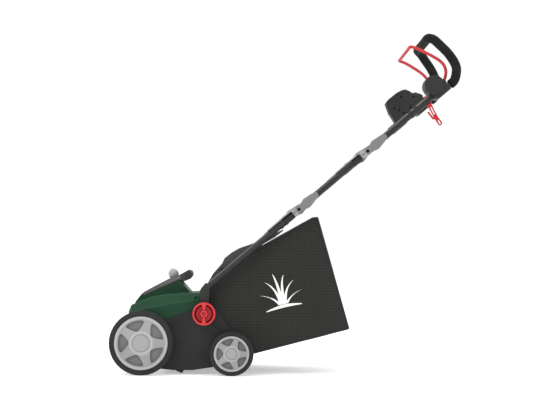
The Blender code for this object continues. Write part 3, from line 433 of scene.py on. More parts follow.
LOOKS = {
    "graphite": moulded("graphite_moulding", srgb(41, 41, 41), 0.55, specular=0.16, edge=0.0014),
    "graphite_soft": moulded(
        "graphite_fine", srgb(41, 41, 42), 0.5, 900.0, specular=0.2, edge=0.0012),
    "flap": moulded("flap_moulding", srgb(72, 72, 72), 0.5, specular=0.2, edge=0.0012),
    # near-black: the pivot heads and rivets, and painted shade in the switch cover's screw recesses and
    # boss groove
    "black": moulded("dark_heads_and_painted_recess_shade", srgb(12, 12, 12), 0.7, specular=0.1),
    # green: painted highlight lines along the cover's creases
    "green": moulded(
        "green_moulding", srgb(27, 62, 41), 0.42, 500.0, 0.10, vary=0.08, specular=0.14,
        edge=0.0022, crease_highlight=2.1),
    "silver": moulded(
        "silver_moulding", srgb(158, 158, 159), 0.42, 800.0, 0.2, vary=0.05, specular=0.4),
    "silver_spoke": moulded(
        "silver_spokes", srgb(140, 140, 141), 0.5, 240.0, 0.45, 0.0006, vary=0.12, specular=0.35),
    # darker silver: painted shade in the wheel pockets, and the lock button's own grey
    "pocket_shade_and_dark_silver": moulded(
        "grey_silver_and_painted_pocket_shade", srgb(108, 108, 109), 0.6, 420.0, 0.6, 0.0006, vary=0.10, specular=0.2),
    "cap": moulded("silver_cap", srgb(146, 146, 147), 0.45, 900.0, 0.2, vary=0.04, specular=0.4),
    "ball": moulded("pale_ball", srgb(156, 156, 158), 0.3, 600.0, 0.1, vary=0.05, coat=0.3),
    "tyre": moulded(
        "tyre_rubber", srgb(44, 44, 44), 0.8, 500.0, 0.45, 0.0005, vary=0.16, specular=0.14),
    "rubber": moulded("belt_rubber", srgb(26, 26, 26), 0.85, 600.0, 0.4),
    "red": moulded("red_moulding", srgb(192, 46, 50), 0.42, 700.0, 0.12, vary=0.05, specular=0.3),
    # painted shade in the knobs' recessed ring and grooves
    "red_painted_shade": moulded(
        "red_groove_painted_shade", srgb(122, 6, 12), 0.6, 500.0, 0.2, vary=0.08, specular=0.1),
    "red_muted": moulded(
        "red_ridges", srgb(160, 52, 58), 0.6, 500.0, 0.25, vary=0.08, specular=0.15),
    "red_wire": moulded(
        "red_coated_wire", srgb(182, 60, 62), 0.5, 500.0, 0.08, vary=0.05, specular=0.06),
    "red_hook": moulded(
        "red_hook_moulding", srgb(180, 34, 40), 0.45, 700.0, 0.15, vary=0.06, specular=0.2),
    # tube: painted highlight along the upper side of the handle tubes
    "tube": coated_tube("coated_tube", srgb(29, 29, 30), srgb(84, 84, 85)),
    "steel": moulded(
        "plain_steel", srgb(150, 150, 152), 0.34, 260.0, 0.15, vary=0.10, metal=1.0,
        stretch=(1.0, 9.0, 1.0)),
    "blade": moulded(
        "worn_blade_steel", srgb(70, 68, 66), 0.48, 300.0, 0.3, vary=0.25, metal=0.9),
    "motor": moulded(
        "cast_motor_case", srgb(120, 120, 124), 0.5, 350.0, 0.35, vary=0.12, metal=0.7,
        edge=0.0012),
    "saddle": moulded(
        "pale_saddle", srgb(142, 142, 142), 0.5, 700.0, 0.2, vary=0.10, specular=0.3,
        edge=0.0008),
    "paddle": moulded(
        "grey_paddle", srgb(112, 112, 112), 0.55, 700.0, 0.22, vary=0.06, specular=0.2,
        edge=0.0014),
    "binding": woven("edge_binding", srgb(48, 48, 47), 0.0, thread=0.0016),
    "fabric": woven("bag_weave", srgb(39, 39, 37), 0.85),
    "print": moulded("pale_print", srgb(225, 225, 222), 0.6, 900.0, 0.4, vary=0.03),
    "foam": foamed("foam_sleeve", srgb(30, 30, 30)),
    "ramp": ramp_finish("ramp_moulding"),
}
NODES_OF_LOOK = {
    "graphite": "deck_housing belt_cover switch_box switch_cover bag_frame",
    "graphite_soft": "hub_left hub_right",
    "green": "motor_cover",
    "ramp": "top_trim",
    "motor": "motor_body",
    "rubber": "drive_belt",
    "blade": "rotor_blades",
    "tube": "grip_tube",
    "pocket_shade_and_dark_silver": "lock_button",
    "red_hook": "cable_hook",
    "flap": "rear_flap",
    "steel": "motor_pulley rotor_pulley rotor_shaft bearing_left bearing_right rear_axle front_crank"
             " depth_lever pivot_bolt_left pivot_bolt_right",
}
NODE_LOOKS = {name: look for look, names in NODES_OF_LOOK.items() for name in names.split()}
for label, side in SIDES:
    for stage in ("lower", "mid", "upper"):
        NODE_LOOKS[f"{stage}_tube_{label}"] = "tube"
    for stage in ("low", "high"):
        NODE_LOOKS[f"saddle_{stage}_{label}"] = "saddle"
        NODE_LOOKS[f"cam_{stage}_{label}"] = "paddle"

# Shapes


def piece(name, verts, faces, looks, body, parts=None, smooth=True):
    """A named mesh object that rides on a body."""
    mesh = bpy.data.meshes.new(name)
    mesh.from_pydata([tuple(v) for v in verts], [], faces)
    for look in looks:
        mesh.materials.append(LOOKS[look])
    if parts is not None:
        mesh.polygons.foreach_set("material_index", parts)
    mesh.polygons.foreach_set("use_smooth", [smooth] * len(mesh.polygons))
    mesh.validate()
    obj = bpy.data.objects.new(name, mesh)
    bpy.context.scene.collection.objects.link(obj)
    if body:
        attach(obj, body)
    return obj


def skin(rings, loop=False, caps=True, flip=False):
    """Vertices and faces through rings of equally many points."""
    count = len(rings[0])
    verts = [p for ring in rings for p in ring]
    faces = []
    pairs = len(rings) if loop else len(rings) - 1
    for k in range(pairs):
        low = k * count
        high = ((k + 1) % len(rings)) * count
        for i in range(count):
            j = (i + 1) % count
            quad = (low + i, low + j, high + j, high + i)
            faces.append(quad[::-1] if flip else quad)
    if caps and not loop:
        first = tuple(range(count))
        last = tuple(range((len(rings) - 1) * count, len(rings) * count))
        faces.append(first if flip else first[::-1])
        faces.append(last[::-1] if flip else last)
    return verts, faces


def lathe(profile, centre, side, steps):
    """A profile of (radius, distance from the middle) turned about a Y axis."""
    rings = []
    for r, y in profile:
        rings.append([
            (centre[0] + r * math.cos(a), side * y, centre[1] + r * math.sin(a))
            for a in (2 * math.pi * k / steps for k in range(steps))
        ])
    return skin(rings, flip=side < 0)


def smooth_line(points, step):
    """Points at about equal steps on a smooth line through the given ones."""
    spots = [Vector(p) for p in points]
    dense = []
    for i in range(len(spots) - 1):
        p0 = spots[max(i - 1, 0)]
        p1 = spots[i]
        p2 = spots[i + 1]
        p3 = spots[min(i + 2, len(spots) - 1)]
        count = max(2, int((p2 - p1).length / step))
        for k in range(count):
            t = k / count
            dense.append(0.5 * (
                2 * p1 + (p2 - p0) * t + (2 * p0 - 5 * p1 + 4 * p2 - p3) * t * t
                + (3 * p1 - p0 - 3 * p2 + p3) * t * t * t
            ))
    dense.append(spots[-1])
    return dense


def mirrored(path):
    return list(path) + [(x, -y, z) for x, y, z in reversed(path[:-1])]


def tube(line, radius, sides, closed=False):
    """Rings round a line; radius is a number or a function of the share of the way along."""
    total = len(line)
    rings = []
    first = (line[1] - line[0]).normalized()
    normal = first.orthogonal().normalized()
    for i, spot in enumerate(line):
        ahead = line[(i + 1) % total] if closed else line[min(i + 1, total - 1)]
        behind = line[i - 1] if closed or i else line[0]
        along = (ahead - behind).normalized()
        normal = (normal - along * normal.dot(along)).normalized()
        other = along.cross(normal)
        r = radius(i / (total - 1)) if callable(radius) else radius
        rings.append([
            spot + normal * (r * math.cos(a)) + other * (r * math.sin(a))
            for a in (2 * math.pi * k / sides for k in range(sides))
        ])
    return skin(rings, loop=closed)


def joined(*shapes):
    """Several (verts, faces) as one."""
    verts = []
    faces = []
    for more_verts, more_faces in shapes:
        base = len(verts)
        verts.extend(more_verts)
        faces.extend(tuple(base + i for i in face) for face in more_faces)
    return verts, faces


def slab(outline, y0, y1, ease):
    """A side-view outline given thickness along Y, its edges eased."""
    cx = sum(x for x, z in outline) / len(outline)
    cz = sum(z for x, z in outline) / len(outline)
    reach = max(math.hypot(x - cx, z - cz) for x, z in outline)
    shrink = 1 - ease / reach
    rings = []
    for y, k in ((y0, shrink), (y0 + ease, 1.0), (y1 - ease, 1.0), (y1, shrink)):
        rings.append([(cx + (x - cx) * k, y, cz + (z - cz) * k) for x, z in outline])
    return skin(rings)


def pocketed(rings, centre, side, count, turn, inside, between, wall):
    """Disc of rings (radius, solid y, pocket y, pocket half angle, solid part, pocket part)."""
    loops = []
    flags = []
    for r, solid, low, half, *_ in rings:
        ease = min(wall / max(r, 1e-4), half * 0.3)
        loop = []
        flags = []
        for k in range(count):
            base = turn + 2 * math.pi * k / count
            loop.append((base - half, solid))
            flags.append(False)
            for i in range(inside):
                share = i / (inside - 1)
                loop.append((base - half + ease + (2 * half - 2 * ease) * share, low))
                flags.append(True)
            loop.append((base + half, solid))
            flags.append(False)
            gap = 2 * math.pi / count - 2 * half
            for i in range(1, between + 1):
                loop.append((base + half + gap * i / (between + 1), solid))
                flags.append(False)
        loops.append([
            (centre[0] + r * math.cos(a), side * y, centre[1] + r * math.sin(a)) for a, y in loop
        ])
    verts, faces = skin(loops, caps=False, flip=side < 0)
    parts = []
    total = len(flags)
    for k in range(len(rings) - 1):
        for i in range(total):
            hollow = flags[i] or flags[(i + 1) % total]
            deep = min(rings[k][2] - rings[k][1], rings[k + 1][2] - rings[k + 1][1]) < -0.0005
            parts.append(rings[k + 1][5] if hollow and deep else rings[k][4])
    return verts, faces, parts


# Running gear


def pocket_half_angle(share):
    """Half angle of a wheel pocket at a share of the rim's radius: narrow inside, rounded corners."""
    t = min(max((share - 0.455) / 0.395, 0.0), 1.0)
    width = 0.378 * t ** 0.68
    if share > 0.800:
        width *= 1 - 0.24 * min(1.0, (share - 0.800) / 0.050) ** 3
    return math.asin(min(0.9, max(width, 0.012) / share))


def rim(name, axle, side, rim_r, body):
    """Wheel disc with five pocketed spokes and a stepped lip."""
    out = WHEEL_OUT
    rings = []

    def ring(share, level, pocket=None):
        half = pocket_half_angle(min(max(share, 0.46), 0.85))
        part = 2 if SPOKE_ZONE[0] < share < SPOKE_ZONE[1] else 0
        low = level if pocket is None else pocket
        # pockets take finish 1, the darker silver, as painted shade on their walls and floors
        rings.append((share * rim_r, out + level, out + low, half, part, 1))

    for share, level in RIM_HUB:
        ring(share, level)
    steps = 14
    near, far = POCKET_ZONE
    for k in range(steps + 1):
        sag = 0.0006 * math.sin(math.pi * k / steps)
        ring(near + (far - near) * k / steps, -0.0030 - sag, POCKET_LEVEL)
    back = WHEEL_IN + RIM_BACK - out
    wall = 1 - RIM_WALL / rim_r
    for share, level in RIM_LIP + [
        (1.000, back), (wall, back), (wall, RIM_DISC_LEVEL), (0.270, RIM_DISC_LEVEL),
        (0.260, WHEEL_IN - out), (0.130, WHEEL_IN - out),
    ]:
        ring(share, level)
    verts, faces, parts = pocketed(rings, axle, side, SPOKES, math.pi, 12, 8, 0.0011)
    obj = piece(name, verts, faces, ("silver", "pocket_shade_and_dark_silver", "silver_spoke"), body, parts)
    split = obj.modifiers.new("edges", "EDGE_SPLIT")
    split.split_angle = math.radians(38)
    return obj


def tyre(name, axle, side, tyre_r, rim_r, body):
    """Tyre with a ringed sidewall and slanted tread blocks."""
    steps = 192 if tyre_r > 0.08 else 144
    lugs = 4
    out = WHEEL_OUT
    wide = out - WHEEL_IN
    wall = tyre_r - rim_r
    profile = [
        (rim_r + 0.0004, out - 0.0030, 0), (rim_r + 0.0006, out - 0.0010, 0),
        (rim_r + 0.0022, out - 0.0002, 0), (rim_r + 0.0030, out - 0.0012, 0),
        (rim_r + wall * 0.35, out - 0.0005, 0), (rim_r + wall * 0.62, out - 0.0002, 0),
        (tyre_r - 0.0046, out - 0.0008, 0), (tyre_r - 0.0040, out - 0.0016, 0),
        (tyre_r - 0.0026, out - 0.0022, 0), (tyre_r - 0.0010, out - 0.0042, 0),
        (tyre_r - 0.0003, out - 0.0062, 1),
    ]
    bands = 13
    for k in range(bands):
        share = k / (bands - 1)
        profile.append((tyre_r, out - 0.0075 - (wide - 0.0150) * share, 2 if k in (4, 8) else 1))
    profile += [
        (tyre_r - 0.0003, WHEEL_IN + 0.0062, 1), (tyre_r - 0.0016, WHEEL_IN + 0.0036, 0),
        (tyre_r - 0.0060, WHEEL_IN + 0.0012, 0), (rim_r + 0.0030, WHEEL_IN + 0.0012, 0),
        (rim_r + 0.0004, WHEEL_IN + 0.0030, 0),
    ]
    rings = []
    for j, (r, y, kind) in enumerate(profile):
        ring = []
        for i in range(steps):
            angle = 2 * math.pi * i / steps
            depth = 0.0
            if kind == 2:
                depth = 0.0012
            if kind == 1 and (i + abs(j - 16) // 2) % lugs == 0:
                depth = 0.0015
            reach = r - depth
            ring.append((
                axle[0] + reach * math.cos(angle), side * y, axle[1] + reach * math.sin(angle),
            ))
        rings.append(ring)
    verts, faces = skin(rings, loop=True, flip=side < 0)
    obj = piece(name, verts, faces, ("tyre",), body)
    split = obj.modifiers.new("edges", "EDGE_SPLIT")
    split.split_angle = math.radians(32)
    return obj


def cap(axle, side, rim_r):
    """Domed cap over the hub."""
    out = WHEEL_OUT
    r = CAP_SHARE * rim_r
    return lathe([
        (0.002, out - 0.0050), (r, out - 0.0050), (r, out - 0.0012), (r - 0.0006, out - 0.0004),
        (r - 0.0024, out + 0.0008), (r - 0.0050, out + 0.0016), (r * 0.62, out + 0.0022),
        (r * 0.30, out + 0.0025), (0.0008, out + 0.0025),
    ], axle, side, 72)


def wheels():
    for label, side in SIDES:
        for which, axle, tyre_r, rim_r in WHEELS:
            body = f"{which}_wheel_{label}"
            made = rim(body + "_spoked_rim", axle, side, rim_r, body)
            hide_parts(body + "_rim")
            made = tyre(body + "_treaded_tyre", axle, side, tyre_r, rim_r, body)
            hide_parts(body + "_tyre")
            dome = cap(axle, side, rim_r)
            made = piece(body + "_hub_cap", *dome, ("cap",), body)
            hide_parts(body + "_cap")


def knobs():
    """Red handle knobs: outer ring, upright bar, hub and two fields of fine ridges."""
    near, far = KNOB_Y
    for label, side in SIDES:
        rings = []
        back = [(1.000, near + 0.0040 - far), (0.920, near - far), (0.200, near - far)]
        for row in KNOB_HUB + KNOB_RIDGES + KNOB_RING + back:
            share, level, pocket, pocket_part, part = row if len(row) > 2 else (*row, None, 1, 0)
            flare = min(1.0, max(0.0, (share - 0.42) / 0.36))
            width = 0.105 + 0.085 * flare * flare
            half = math.pi / 2 - math.asin(min(0.85, width / max(share, 0.20)))
            low = level if pocket is None else pocket
            rings.append((share * KNOB_R, far + level, far + low, half, part, pocket_part))
        verts, faces, parts = pocketed(rings, KNOB_AT, side, 2, 0.0, 30, 10, 0.0006)
        # the second finish is painted shade in the recessed ring and the hub's grooves
        looks = ("red", "red_painted_shade", "red_muted")
        made = piece("ridged_knob_" + label, verts, faces, looks, "knob_" + label, parts)
        made.modifiers.new("edges", "EDGE_SPLIT").split_angle = math.radians(35)
        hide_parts("knob_" + label)


# Handle details


def on_handle(base, u, v=0.0, y=0.0):
    """The point at u along and v across the handle from a fold."""
    return Vector((base[0], y, base[1])) + UP * u + ACROSS * v


def stud(centre, side, radius, y_low, y_high, steps):
    """A small round head facing outwards with an eased edge and a dished middle."""
    ease = 0.0005
    dish = 0.0006
    return lathe([
        (0.0003, y_low), (radius, y_low), (radius, y_high - ease), (radius - ease, y_high),
        (radius * 0.45, y_high), (radius * 0.40, y_high - dish), (0.0003, y_high - dish),
    ], centre, side, steps)


def half_sleeve(base, y, u0, u1, radius, thin):
    """A sleeve round the lower side of a tube, thinner above."""
    rings = []
    for u, grow in ((u0, -0.0006), (u0 + 0.0012, 0.0), (u1 - 0.0012, 0.0), (u1, -0.0006)):
        ring = []
        for k in range(32):
            a = 2 * math.pi * k / 32
            r = (radius if math.sin(a) < 0.30 else thin) + grow
            ring.append(on_handle(base, u, r * math.sin(a), y + r * math.cos(a)))
        rings.append(ring)
    return skin(rings)


def hinges():
    """Pivot heads, rivets, cheek plates and sleeves of the four folds."""
    for label, side in SIDES:
        for stage, base, lower_body, tube_y, cheek_body, face in FOLDS:
            spot = on_handle(base, 0.0)
            head = stud((spot.x, spot.z), side, PIVOT_R, *PIVOT_Y, 28)
            name = f"{stage}_{label}"
            made = piece("fold_pivot_" + name, *head, ("black",), "mid_handle")
            if stage == "high":
                outline = [on_handle(base, u, v).xz for u, v in CHEEK_OUTLINE]
                cheek = slab(outline, *sorted((side * CHEEK_IN, side * face)), 0.0008)
                made = piece("fold_cheek_" + label, *cheek, ("saddle",), cheek_body, smooth=False)
            dots = []
            for u, v, size in RIVETS:
                place = on_handle(base, u, v)
                dots.append(stud((place.x, place.z), side, size, face - 0.0010, face + 0.0003, 20))
            made = piece("fold_rivets_" + name, *joined(*dots), ("black",), cheek_body)
            sleeve = half_sleeve(base, side * tube_y, *SLEEVE_U, SLEEVE_R, TUBE_R + 0.0002)
            made = piece("fold_sleeve_" + name, *sleeve, ("graphite",), lower_body)


def band(base, u, y, wide, radius, nub):
    """A clip round a tube with a nub below it."""
    rings = []
    ease = radius - 0.0008
    for du, r in ((-wide, ease), (-wide * 0.7, radius), (wide * 0.7, radius), (wide, ease)):
        ring = []
        for k in range(28):
            a = 2 * math.pi * k / 28
            lift = nub * max(0.0, -math.sin(a)) ** 4
            ring.append(on_handle(base, u + du, (r + lift) * math.sin(a), y + (r + lift) * math.cos(a)))
        rings.append(ring)
    return skin(rings)


def tube_clips():
    """Two clips on the upper left tube and a collar on each lower tube."""
    upper = [
        band(FOLD_HIGH, 0.1850, -OUTER_Y, 0.0060, 0.0117, 0.0014),
        band(FOLD_HIGH, 0.2080, -OUTER_Y, 0.0070, 0.0117, 0.0014),
    ]
    clips = joined(*upper)
    made = piece("cable_clips_upper", *clips, ("graphite_soft",), "upper_handle")
    for label, side in SIDES:
        low = band(FOLD_LOW, -0.0560, side * OUTER_Y, 0.0045, 0.0118, 0.0018)
        made = piece("tube_collar_low_" + label, *low, ("graphite_soft",), "lower_handle")


def grip_and_bail():
    """Foam sleeve with a slightly uneven skin, and the red wire bar in front of it."""
    line = smooth_line(mirrored(FOAM_PATH), 0.0045)

    def foam_radius(share):
        end = min(share, 1 - share)
        ease = min(1.0, end / 0.006)
        return FOAM_R * (0.90 + 0.10 * math.sqrt(1 - (1 - ease) ** 2)) - 0.0002

    made = piece("foam_grip_sleeve", *tube(line, foam_radius, 28), ("foam",), "upper_handle")
    for vert in made.data.vertices:
        spot = vert.co * 26.0
        vert.co += vert.normal * (0.0004 * noise.noise(spot))
    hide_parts("grip_foam")
    line = smooth_line(mirrored(BAIL_PATH), 0.0040)
    made = piece("bail_wire", *tube(line, BAIL_R, 16), ("red_wire",), "bail")
    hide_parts("bail")


def switch_details():
    """Screw recesses, boss and arc on the switch cover's outer face; the recesses and the arc, the
    boss's groove, are near-black painted shade.
    """
    face = BOX_FACE
    cx = sum(x for x, z in BOX_COVER) / len(BOX_COVER)
    cz = sum(z for x, z in BOX_COVER) / len(BOX_COVER)
    rings = []
    for level, share in ((0.0060, 0.970), (0.0038, 0.970), (0.0010, 0.915), (0.0, 0.890)):
        rings.append([
            (cx + (x - cx) * share, face + level, cz + (z - cz) * share) for x, z in BOX_COVER
        ])
    made = piece(
        "switch_cover_eased", *skin(rings[::-1]), ("graphite",), "upper_handle", smooth=False)
    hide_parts("switch_cover")
    recesses = []
    r = BOX_SCREW_R
    for spot in BOX_SCREWS:
        recesses.append(lathe([
            (0.0003, face + 0.0002), (r, face + 0.0002), (r + 0.0006, face - 0.0004),
            (r, face - 0.0005), (r * 0.9, face - 0.0003), (0.0003, face - 0.0002),
        ], spot, 1, 24))
    # near-black discs: painted shade in the screw recesses
    made = piece("switch_screws", *joined(*recesses), ("black",), "upper_handle")
    x, z = BOX_BOSS
    boss = lathe([
        (0.0003, face), (0.0190, face), (0.0188, face - 0.0014), (0.0178, face - 0.0020),
        (0.0120, face - 0.0023), (0.0003, face - 0.0024),
    ], BOX_BOSS, 1, 48)
    made = piece("switch_boss", *boss, ("graphite",), "upper_handle")
    arc = [
        Vector((x + BOX_GROOVE_R * math.cos(a), face - 0.0004, z + BOX_GROOVE_R * math.sin(a)))
        for a in (math.radians(-105 + 5 * k) for k in range(28))
    ]
    # near-black arc: painted shade in the boss's groove
    made = piece("switch_boss_groove", *tube(arc, 0.0014, 10), ("black",), "upper_handle")


def ball_knob():
    """The depth lever's ball with a short neck, turned about the stem."""
    rings = []
    centre = Vector((BALL_CENTRE[0], 0.0, BALL_CENTRE[1]))
    stem = (centre - Vector((STEM_FOOT[0], 0.0, STEM_FOOT[1]))).normalized()
    line = []
    radii = []
    for k in range(25):
        a = math.pi * k / 24
        line.append(centre - stem * (BALL_R * math.cos(a)))
        radii.append(max(0.0006, BALL_R * math.sin(a)))
    collar = [centre - stem * 0.0200, centre - stem * 0.0192, centre - stem * 0.0160]
    line = collar + [p for p, r in zip(line, radii) if r > NECK_R or (p - centre).dot(stem) > 0]
    sizes = [NECK_R - 0.0010, NECK_R, NECK_R] + [
        r for k, r in enumerate(radii) if r > NECK_R or math.cos(math.pi * k / 24) < 0
    ]
    across = stem.orthogonal().normalized()
    other = stem.cross(across)
    for spot, r in zip(line, sizes):
        rings.append([
            spot + across * (r * math.cos(a)) + other * (r * math.sin(a))
            for a in (2 * math.pi * k / 40 for k in range(40))
        ])
    made = piece("depth_ball_knob", *skin(rings), ("ball",), "depth_lever")
    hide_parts("lever_knob")


def deck_details():
    """Strut behind the ramp, side plates of flap, deck, handle and guard, and the cover's bosses."""
    strut = slab(STRUT, -STRUT_HALF_W, STRUT_HALF_W, 0.0006)
    made = piece("hump_rear_strut", *strut, ("green",), "chassis", smooth=False)
    for label, side in SIDES:
        for name, outline, reach, ease, look, body in SIDE_PLATES:
            shape = slab(outline, *sorted(side * y for y in reach), ease)
            made = piece(name + label, *shape, (look,), body, smooth=False)
        boss = lathe([
            (0.0004, 0.1700), (0.0095, 0.1700), (0.0092, 0.1905), (0.0084, 0.1915),
            (0.0060, 0.1915), (0.0054, 0.1885), (0.0004, 0.1885),
        ], COVER_BOSS, side, 32)
        made = piece("cover_boss_" + label, *boss, ("green",), "chassis")


# Collecting bag


def rounded_chain(chain, radius, step):
    """The open chain with its corners rounded, in short steps."""
    spots = [Vector((x, z)) for x, z in chain]
    points = [spots[0]]
    for before, here, after in zip(spots, spots[1:], spots[2:]):
        back = before - here
        ahead = after - here
        turn = math.pi - back.angle(ahead)
        reach = min(radius * math.tan(turn / 2), 0.42 * back.length, 0.42 * ahead.length)
        start = here + back.normalized() * reach
        end = here + ahead.normalized() * reach
        for k in range(5):
            t = k / 4
            points.append(start * (1 - t) ** 2 + here * (2 * t * (1 - t)) + end * t ** 2)
    points.append(spots[-1])
    dense = []
    for a, b in zip(points, points[1:]):
        count = max(1, round((b - a).length / step))
        for k in range(count):
            dense.append(a.lerp(b, k / count))
    dense.append(points[-1])
    return dense


def bag_grid():
    """Vertices, faces, pins and seams of the slack bag: side panels and a strip, open in front."""
    chain = rounded_chain(BAG_CHAIN, 0.004, 0.0100)
    mouth = [chain[-1].lerp(chain[0], k / 13) for k in range(1, 13)]
    loop = chain + mouth
    centre = BAG_CENTRE
    rings = 20
    across = 34
    verts = []
    faces = []
    pins = []
    sides = []
    for side in (-1, 1):
        first = len(verts)
        for k in range(rings):
            share = 1 - k / rings
            for p in loop:
                spot = centre + (p - centre) * share
                pins.append(1.0 if k == 0 else 0.0)
                verts.append(Vector((spot.x, side * BAG_HALF_W, spot.y)))
        middle = len(verts)
        verts.append(Vector((centre.x, side * BAG_HALF_W, centre.y)))
        pins.append(0.0)
        count = len(loop)
        for k in range(rings - 1):
            for i in range(count):
                j = (i + 1) % count
                a = first + k * count
                b = a + count
                quad = (a + i, a + j, b + j, b + i)
                faces.append(quad if side < 0 else quad[::-1])
        last = first + (rings - 1) * count
        for i in range(count):
            tri = (last + i, last + (i + 1) % count, middle)
            faces.append(tri if side < 0 else tri[::-1])
        sides.append(first)
    columns = [[sides[0] + i for i in range(len(chain))]]
    for j in range(1, across):
        y = -BAG_HALF_W + 2 * BAG_HALF_W * j / across
        column = []
        for i, p in enumerate(chain):
            column.append(len(verts))
            verts.append(Vector((p.x, y, p.y)))
            pins.append(1.0 if i in (0, len(chain) - 1) else 0.0)
        columns.append(column)
    columns.append([sides[1] + i for i in range(len(chain))])
    for left, right in zip(columns, columns[1:]):
        for i in range(len(chain) - 1):
            faces.append((left[i], right[i], right[i + 1], left[i + 1]))
    seams = [[sides[0] + i for i in range(len(loop))], [sides[1] + i for i in range(len(loop))]]
    return verts, faces, pins, seams


def billow(obj, pins):
    """Lets air pressure swell the bag between its seams, then limits and keeps the result."""
    rest = [v.co.copy() for v in obj.data.vertices]
    group = obj.vertex_groups.new(name="pins")
    for i, weight in enumerate(pins):
        if weight:
            group.add([i], weight, "REPLACE")
    step = obj.modifiers.new("cloth", "CLOTH")
    settings = step.settings
    settings.quality = 6
    settings.mass = 0.35
    settings.tension_stiffness = 22
    settings.compression_stiffness = 22
    settings.shear_stiffness = 9
    settings.bending_stiffness = 1.2
    settings.use_pressure = True
    settings.uniform_pressure_force = CLOTH_PRESSURE
    settings.vertex_group_mass = "pins"
    settings.effector_weights.gravity = 0.35
    step.collision_settings.use_collision = False
    scene = bpy.context.scene
    for k in range(1, CLOTH_FRAMES + 1):
        scene.frame_set(k)
    shaped = bpy.data.meshes.new_from_object(obj.evaluated_get(bpy.context.evaluated_depsgraph_get()))
    places = [v.co.copy() for v in shaped.vertices]
    obj.modifiers.clear()
    scene.frame_set(1)
    bpy.data.meshes.remove(shaped)
    for vert, start, end in zip(obj.data.vertices, rest, places):
        move = end - start
        limit = CLOTH_LIMITS[0] if abs(start.y) > BAG_HALF_W - 1e-4 else CLOTH_LIMITS[1]
        far = move.length
        if far > 1e-9:
            move *= limit * math.tanh(far / limit) / far
        vert.co = start + move


def blades():
    """A tuft of curved blades over a short mound, in a unit square."""
    shapes = []
    for foot, tip_u, tip_v, lean, width in BLADES:
        verts = []
        steps = 14
        for k in range(steps + 1):
            t = k / steps
            u = foot * (1 - t) ** 2 + (foot + lean * 0.5) * 2 * t * (1 - t) + tip_u * t * t
            v = 0.02 * (1 - t) ** 2 + tip_v * 0.75 * 2 * t * (1 - t) + tip_v * t * t
            half = width * 0.5 * (1 - t) ** 0.8 + 0.004
            verts.append((u - half, v))
            verts.append((u + half, v))
        faces = [(2 * k, 2 * k + 1, 2 * k + 3, 2 * k + 2) for k in range(steps)]
        shapes.append((verts, faces))
    verts = []
    for k in range(25):
        t = k / 24
        u = -0.55 + 1.10 * t
        bulge = math.sin(math.pi * t)
        verts.append((u, -0.10 + 0.02 * bulge))
        verts.append((u, -0.075 + 0.085 * bulge))
    shapes.append((verts, [(2 * k, 2 * k + 2, 2 * k + 3, 2 * k + 1) for k in range(24)]))
    return joined(*shapes)


def on_side(tree, x, z, side, lift):
    """The point of the bag's side panel at x, z, lifted outwards."""
    hit = tree.ray_cast(Vector((x, side * 0.30, z)), Vector((0.0, -side, 0.0)))
    y = hit[0].y if hit[0] is not None else side * BAG_HALF_W
    return Vector((x, y + side * lift, z))


def bag():
    """Swelling cloth bag with piping, stitches, printed mark and hooks."""
    verts, faces, pins, seams = bag_grid()
    obj = piece("bag_skin", verts, faces, ("fabric",), "")
    billow(obj, pins)
    for vert, pin in zip(obj.data.vertices, pins):
        spot = Vector((vert.co.x * 9.0, vert.co.y * 7.0, vert.co.z * 12.0))
        ripple = noise.noise(spot) + 0.45 * noise.noise(spot * 2.7)
        vert.co += vert.normal * (0.0011 * ripple * (1.0 - pin))
    crease = obj.data.attributes.new("crease_edge", "FLOAT", "EDGE")
    pairs = set()
    for seam in seams:
        for a, b in zip(seam, seam[1:] + seam[:1]):
            pairs.add((min(a, b), max(a, b)))
    for edge in obj.data.edges:
        if tuple(sorted(edge.vertices)) in pairs:
            crease.data[edge.index].value = 1.0
    finer = obj.modifiers.new("finer", "SUBSURF")
    finer.levels = 1
    finer.render_levels = 1
    thick = obj.modifiers.new("cloth_thickness", "SOLIDIFY")
    thick.thickness = 0.0014
    thick.offset = -1.0
    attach(obj, "bag")
    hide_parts("bag_shell")
    tree = BVHTree.FromPolygons(
        [v.co for v in obj.data.vertices], [tuple(p.vertices) for p in obj.data.polygons])
    for (label, side), seam in zip(SIDES, seams):
        edge = [obj.data.vertices[i].co.copy() for i in seam]
        line = smooth_line(edge + [edge[0]], 0.006)[:-1]
        piping = tube(line, 0.0021, 10, closed=True)
        made = piece("bag_piping_" + label, *piping, ("binding",), "bag")
        stitches = []
        for here, after in zip(line, line[1:] + line[:1]):
            inward = Vector((BAG_CENTRE.x - here.x, 0.0, BAG_CENTRE.y - here.z)).normalized()
            a = here + inward * 0.0085
            b = here.lerp(after, 0.58) + inward * 0.0085
            a = on_side(tree, a.x, a.z, side, 0.0002)
            b = on_side(tree, b.x, b.z, side, 0.0002)
            if (b - a).length > 0.0008:
                middle = a.lerp(b, 0.5) + Vector((0, side * 0.0003, 0))
                stitches.append(tube([a, middle, b], 0.00045, 6))
        made = piece("bag_stitches_" + label, *joined(*stitches), ("binding",), "bag")
        flat, faces = blades()
        placed = []
        for u, v in flat:
            u *= MARK_SIZE
            v = (v - 0.42) * MARK_SIZE
            x = MARK_AT[0] + u * math.cos(MARK_TILT) - v * math.sin(MARK_TILT)
            z = MARK_AT[1] + u * math.sin(MARK_TILT) + v * math.cos(MARK_TILT)
            placed.append(on_side(tree, x, z, side, 0.0007))
        leaf = (placed, faces)
        made = piece("bag_leaf_print_" + label, *leaf, ("print",), "bag", smooth=False)
    hooks = [
        slab(BAG_HOOK, *sorted((side * 0.1790, side * 0.1900)), 0.0010) for label, side in SIDES
    ]
    made = piece("bag_hooks", *joined(*hooks), ("graphite",), "bag")


# Everything in order


def finish_nodes():
    for name, look in NODE_LOOKS.items():
        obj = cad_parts[name]
        if not obj.material_slots:
            obj.data.materials.append(LOOKS[look])
        for spot in obj.material_slots:
            spot.link = "OBJECT"
            spot.material = LOOKS[look]


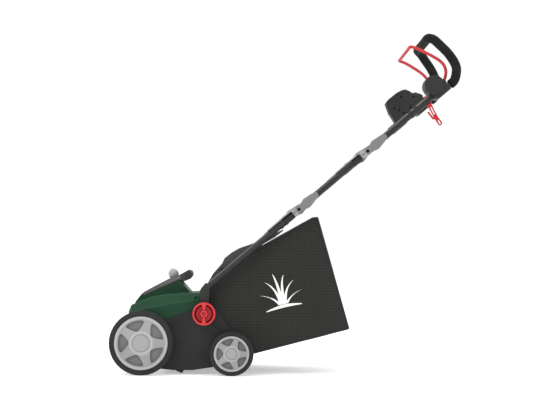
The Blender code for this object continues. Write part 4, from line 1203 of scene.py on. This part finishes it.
def camera():
    data = bpy.data.cameras.new("studio_camera")
    data.sensor_width = 36.0
    data.lens = CAMERA_LENS
    data.clip_end = 200.0
    obj = bpy.data.objects.new("studio_camera", data)
    up = CAMERA_RIGHT.cross(CAMERA_FORWARD)
    place = Matrix((CAMERA_RIGHT, up, -CAMERA_FORWARD)).transposed().to_4x4()
    place.translation = CAMERA_AT
    obj.matrix_world = place
    bpy.context.scene.collection.objects.link(obj)
    bpy.context.scene.camera = obj


def lamp(name, spot, aim, size, power):
    data = bpy.data.lights.new(name, "AREA")
    data.shape = "DISK"
    data.size = size
    data.energy = power
    obj = bpy.data.objects.new(name, data)
    obj.location = spot
    obj.rotation_euler = (Vector(aim) - Vector(spot)).to_track_quat("-Z", "Y").to_euler()
    bpy.context.scene.collection.objects.link(obj)


def studio():
    look = Finish("pale_floor", 0.75, specular=0.1)
    soft = look.span(look.noise(0.8, 2.0), 0.3, 0.7, 0.0, 1.0)
    look.colour(look.blend(soft, (0.86, 0.86, 0.86), (0.90, 0.90, 0.90)))
    look.shader.inputs["Emission Color"].default_value = (1.0, 1.0, 1.0, 1.0)
    look.shader.inputs["Emission Strength"].default_value = FLOOR_GLOW
    reach = FLOOR_REACH
    mesh = bpy.data.meshes.new("studio_floor")
    mesh.from_pydata(
        [(-reach, -reach, 0.0), (reach, -reach, 0.0), (reach, reach, 0.0), (-reach, reach, 0.0)], [],
        [(0, 1, 2, 3)],
    )
    mesh.materials.append(look.made)
    floor = bpy.data.objects.new("studio_floor", mesh)
    bpy.context.scene.collection.objects.link(floor)
    world = bpy.data.worlds.new("studio_world")
    world.use_nodes = True
    sky = world.node_tree.nodes["Background"].inputs
    sky["Color"].default_value = (1.0, 1.0, 1.0, 1.0)
    sky["Strength"].default_value = 1.0
    bpy.context.scene.world = world
    for values in LAMPS:
        lamp(*values)
    bpy.context.scene.view_settings.view_transform = "Standard"


camera()
studio()
finish_nodes()
wheels()
knobs()
hinges()
tube_clips()
grip_and_bail()
switch_details()
ball_knob()
deck_details()
bag()
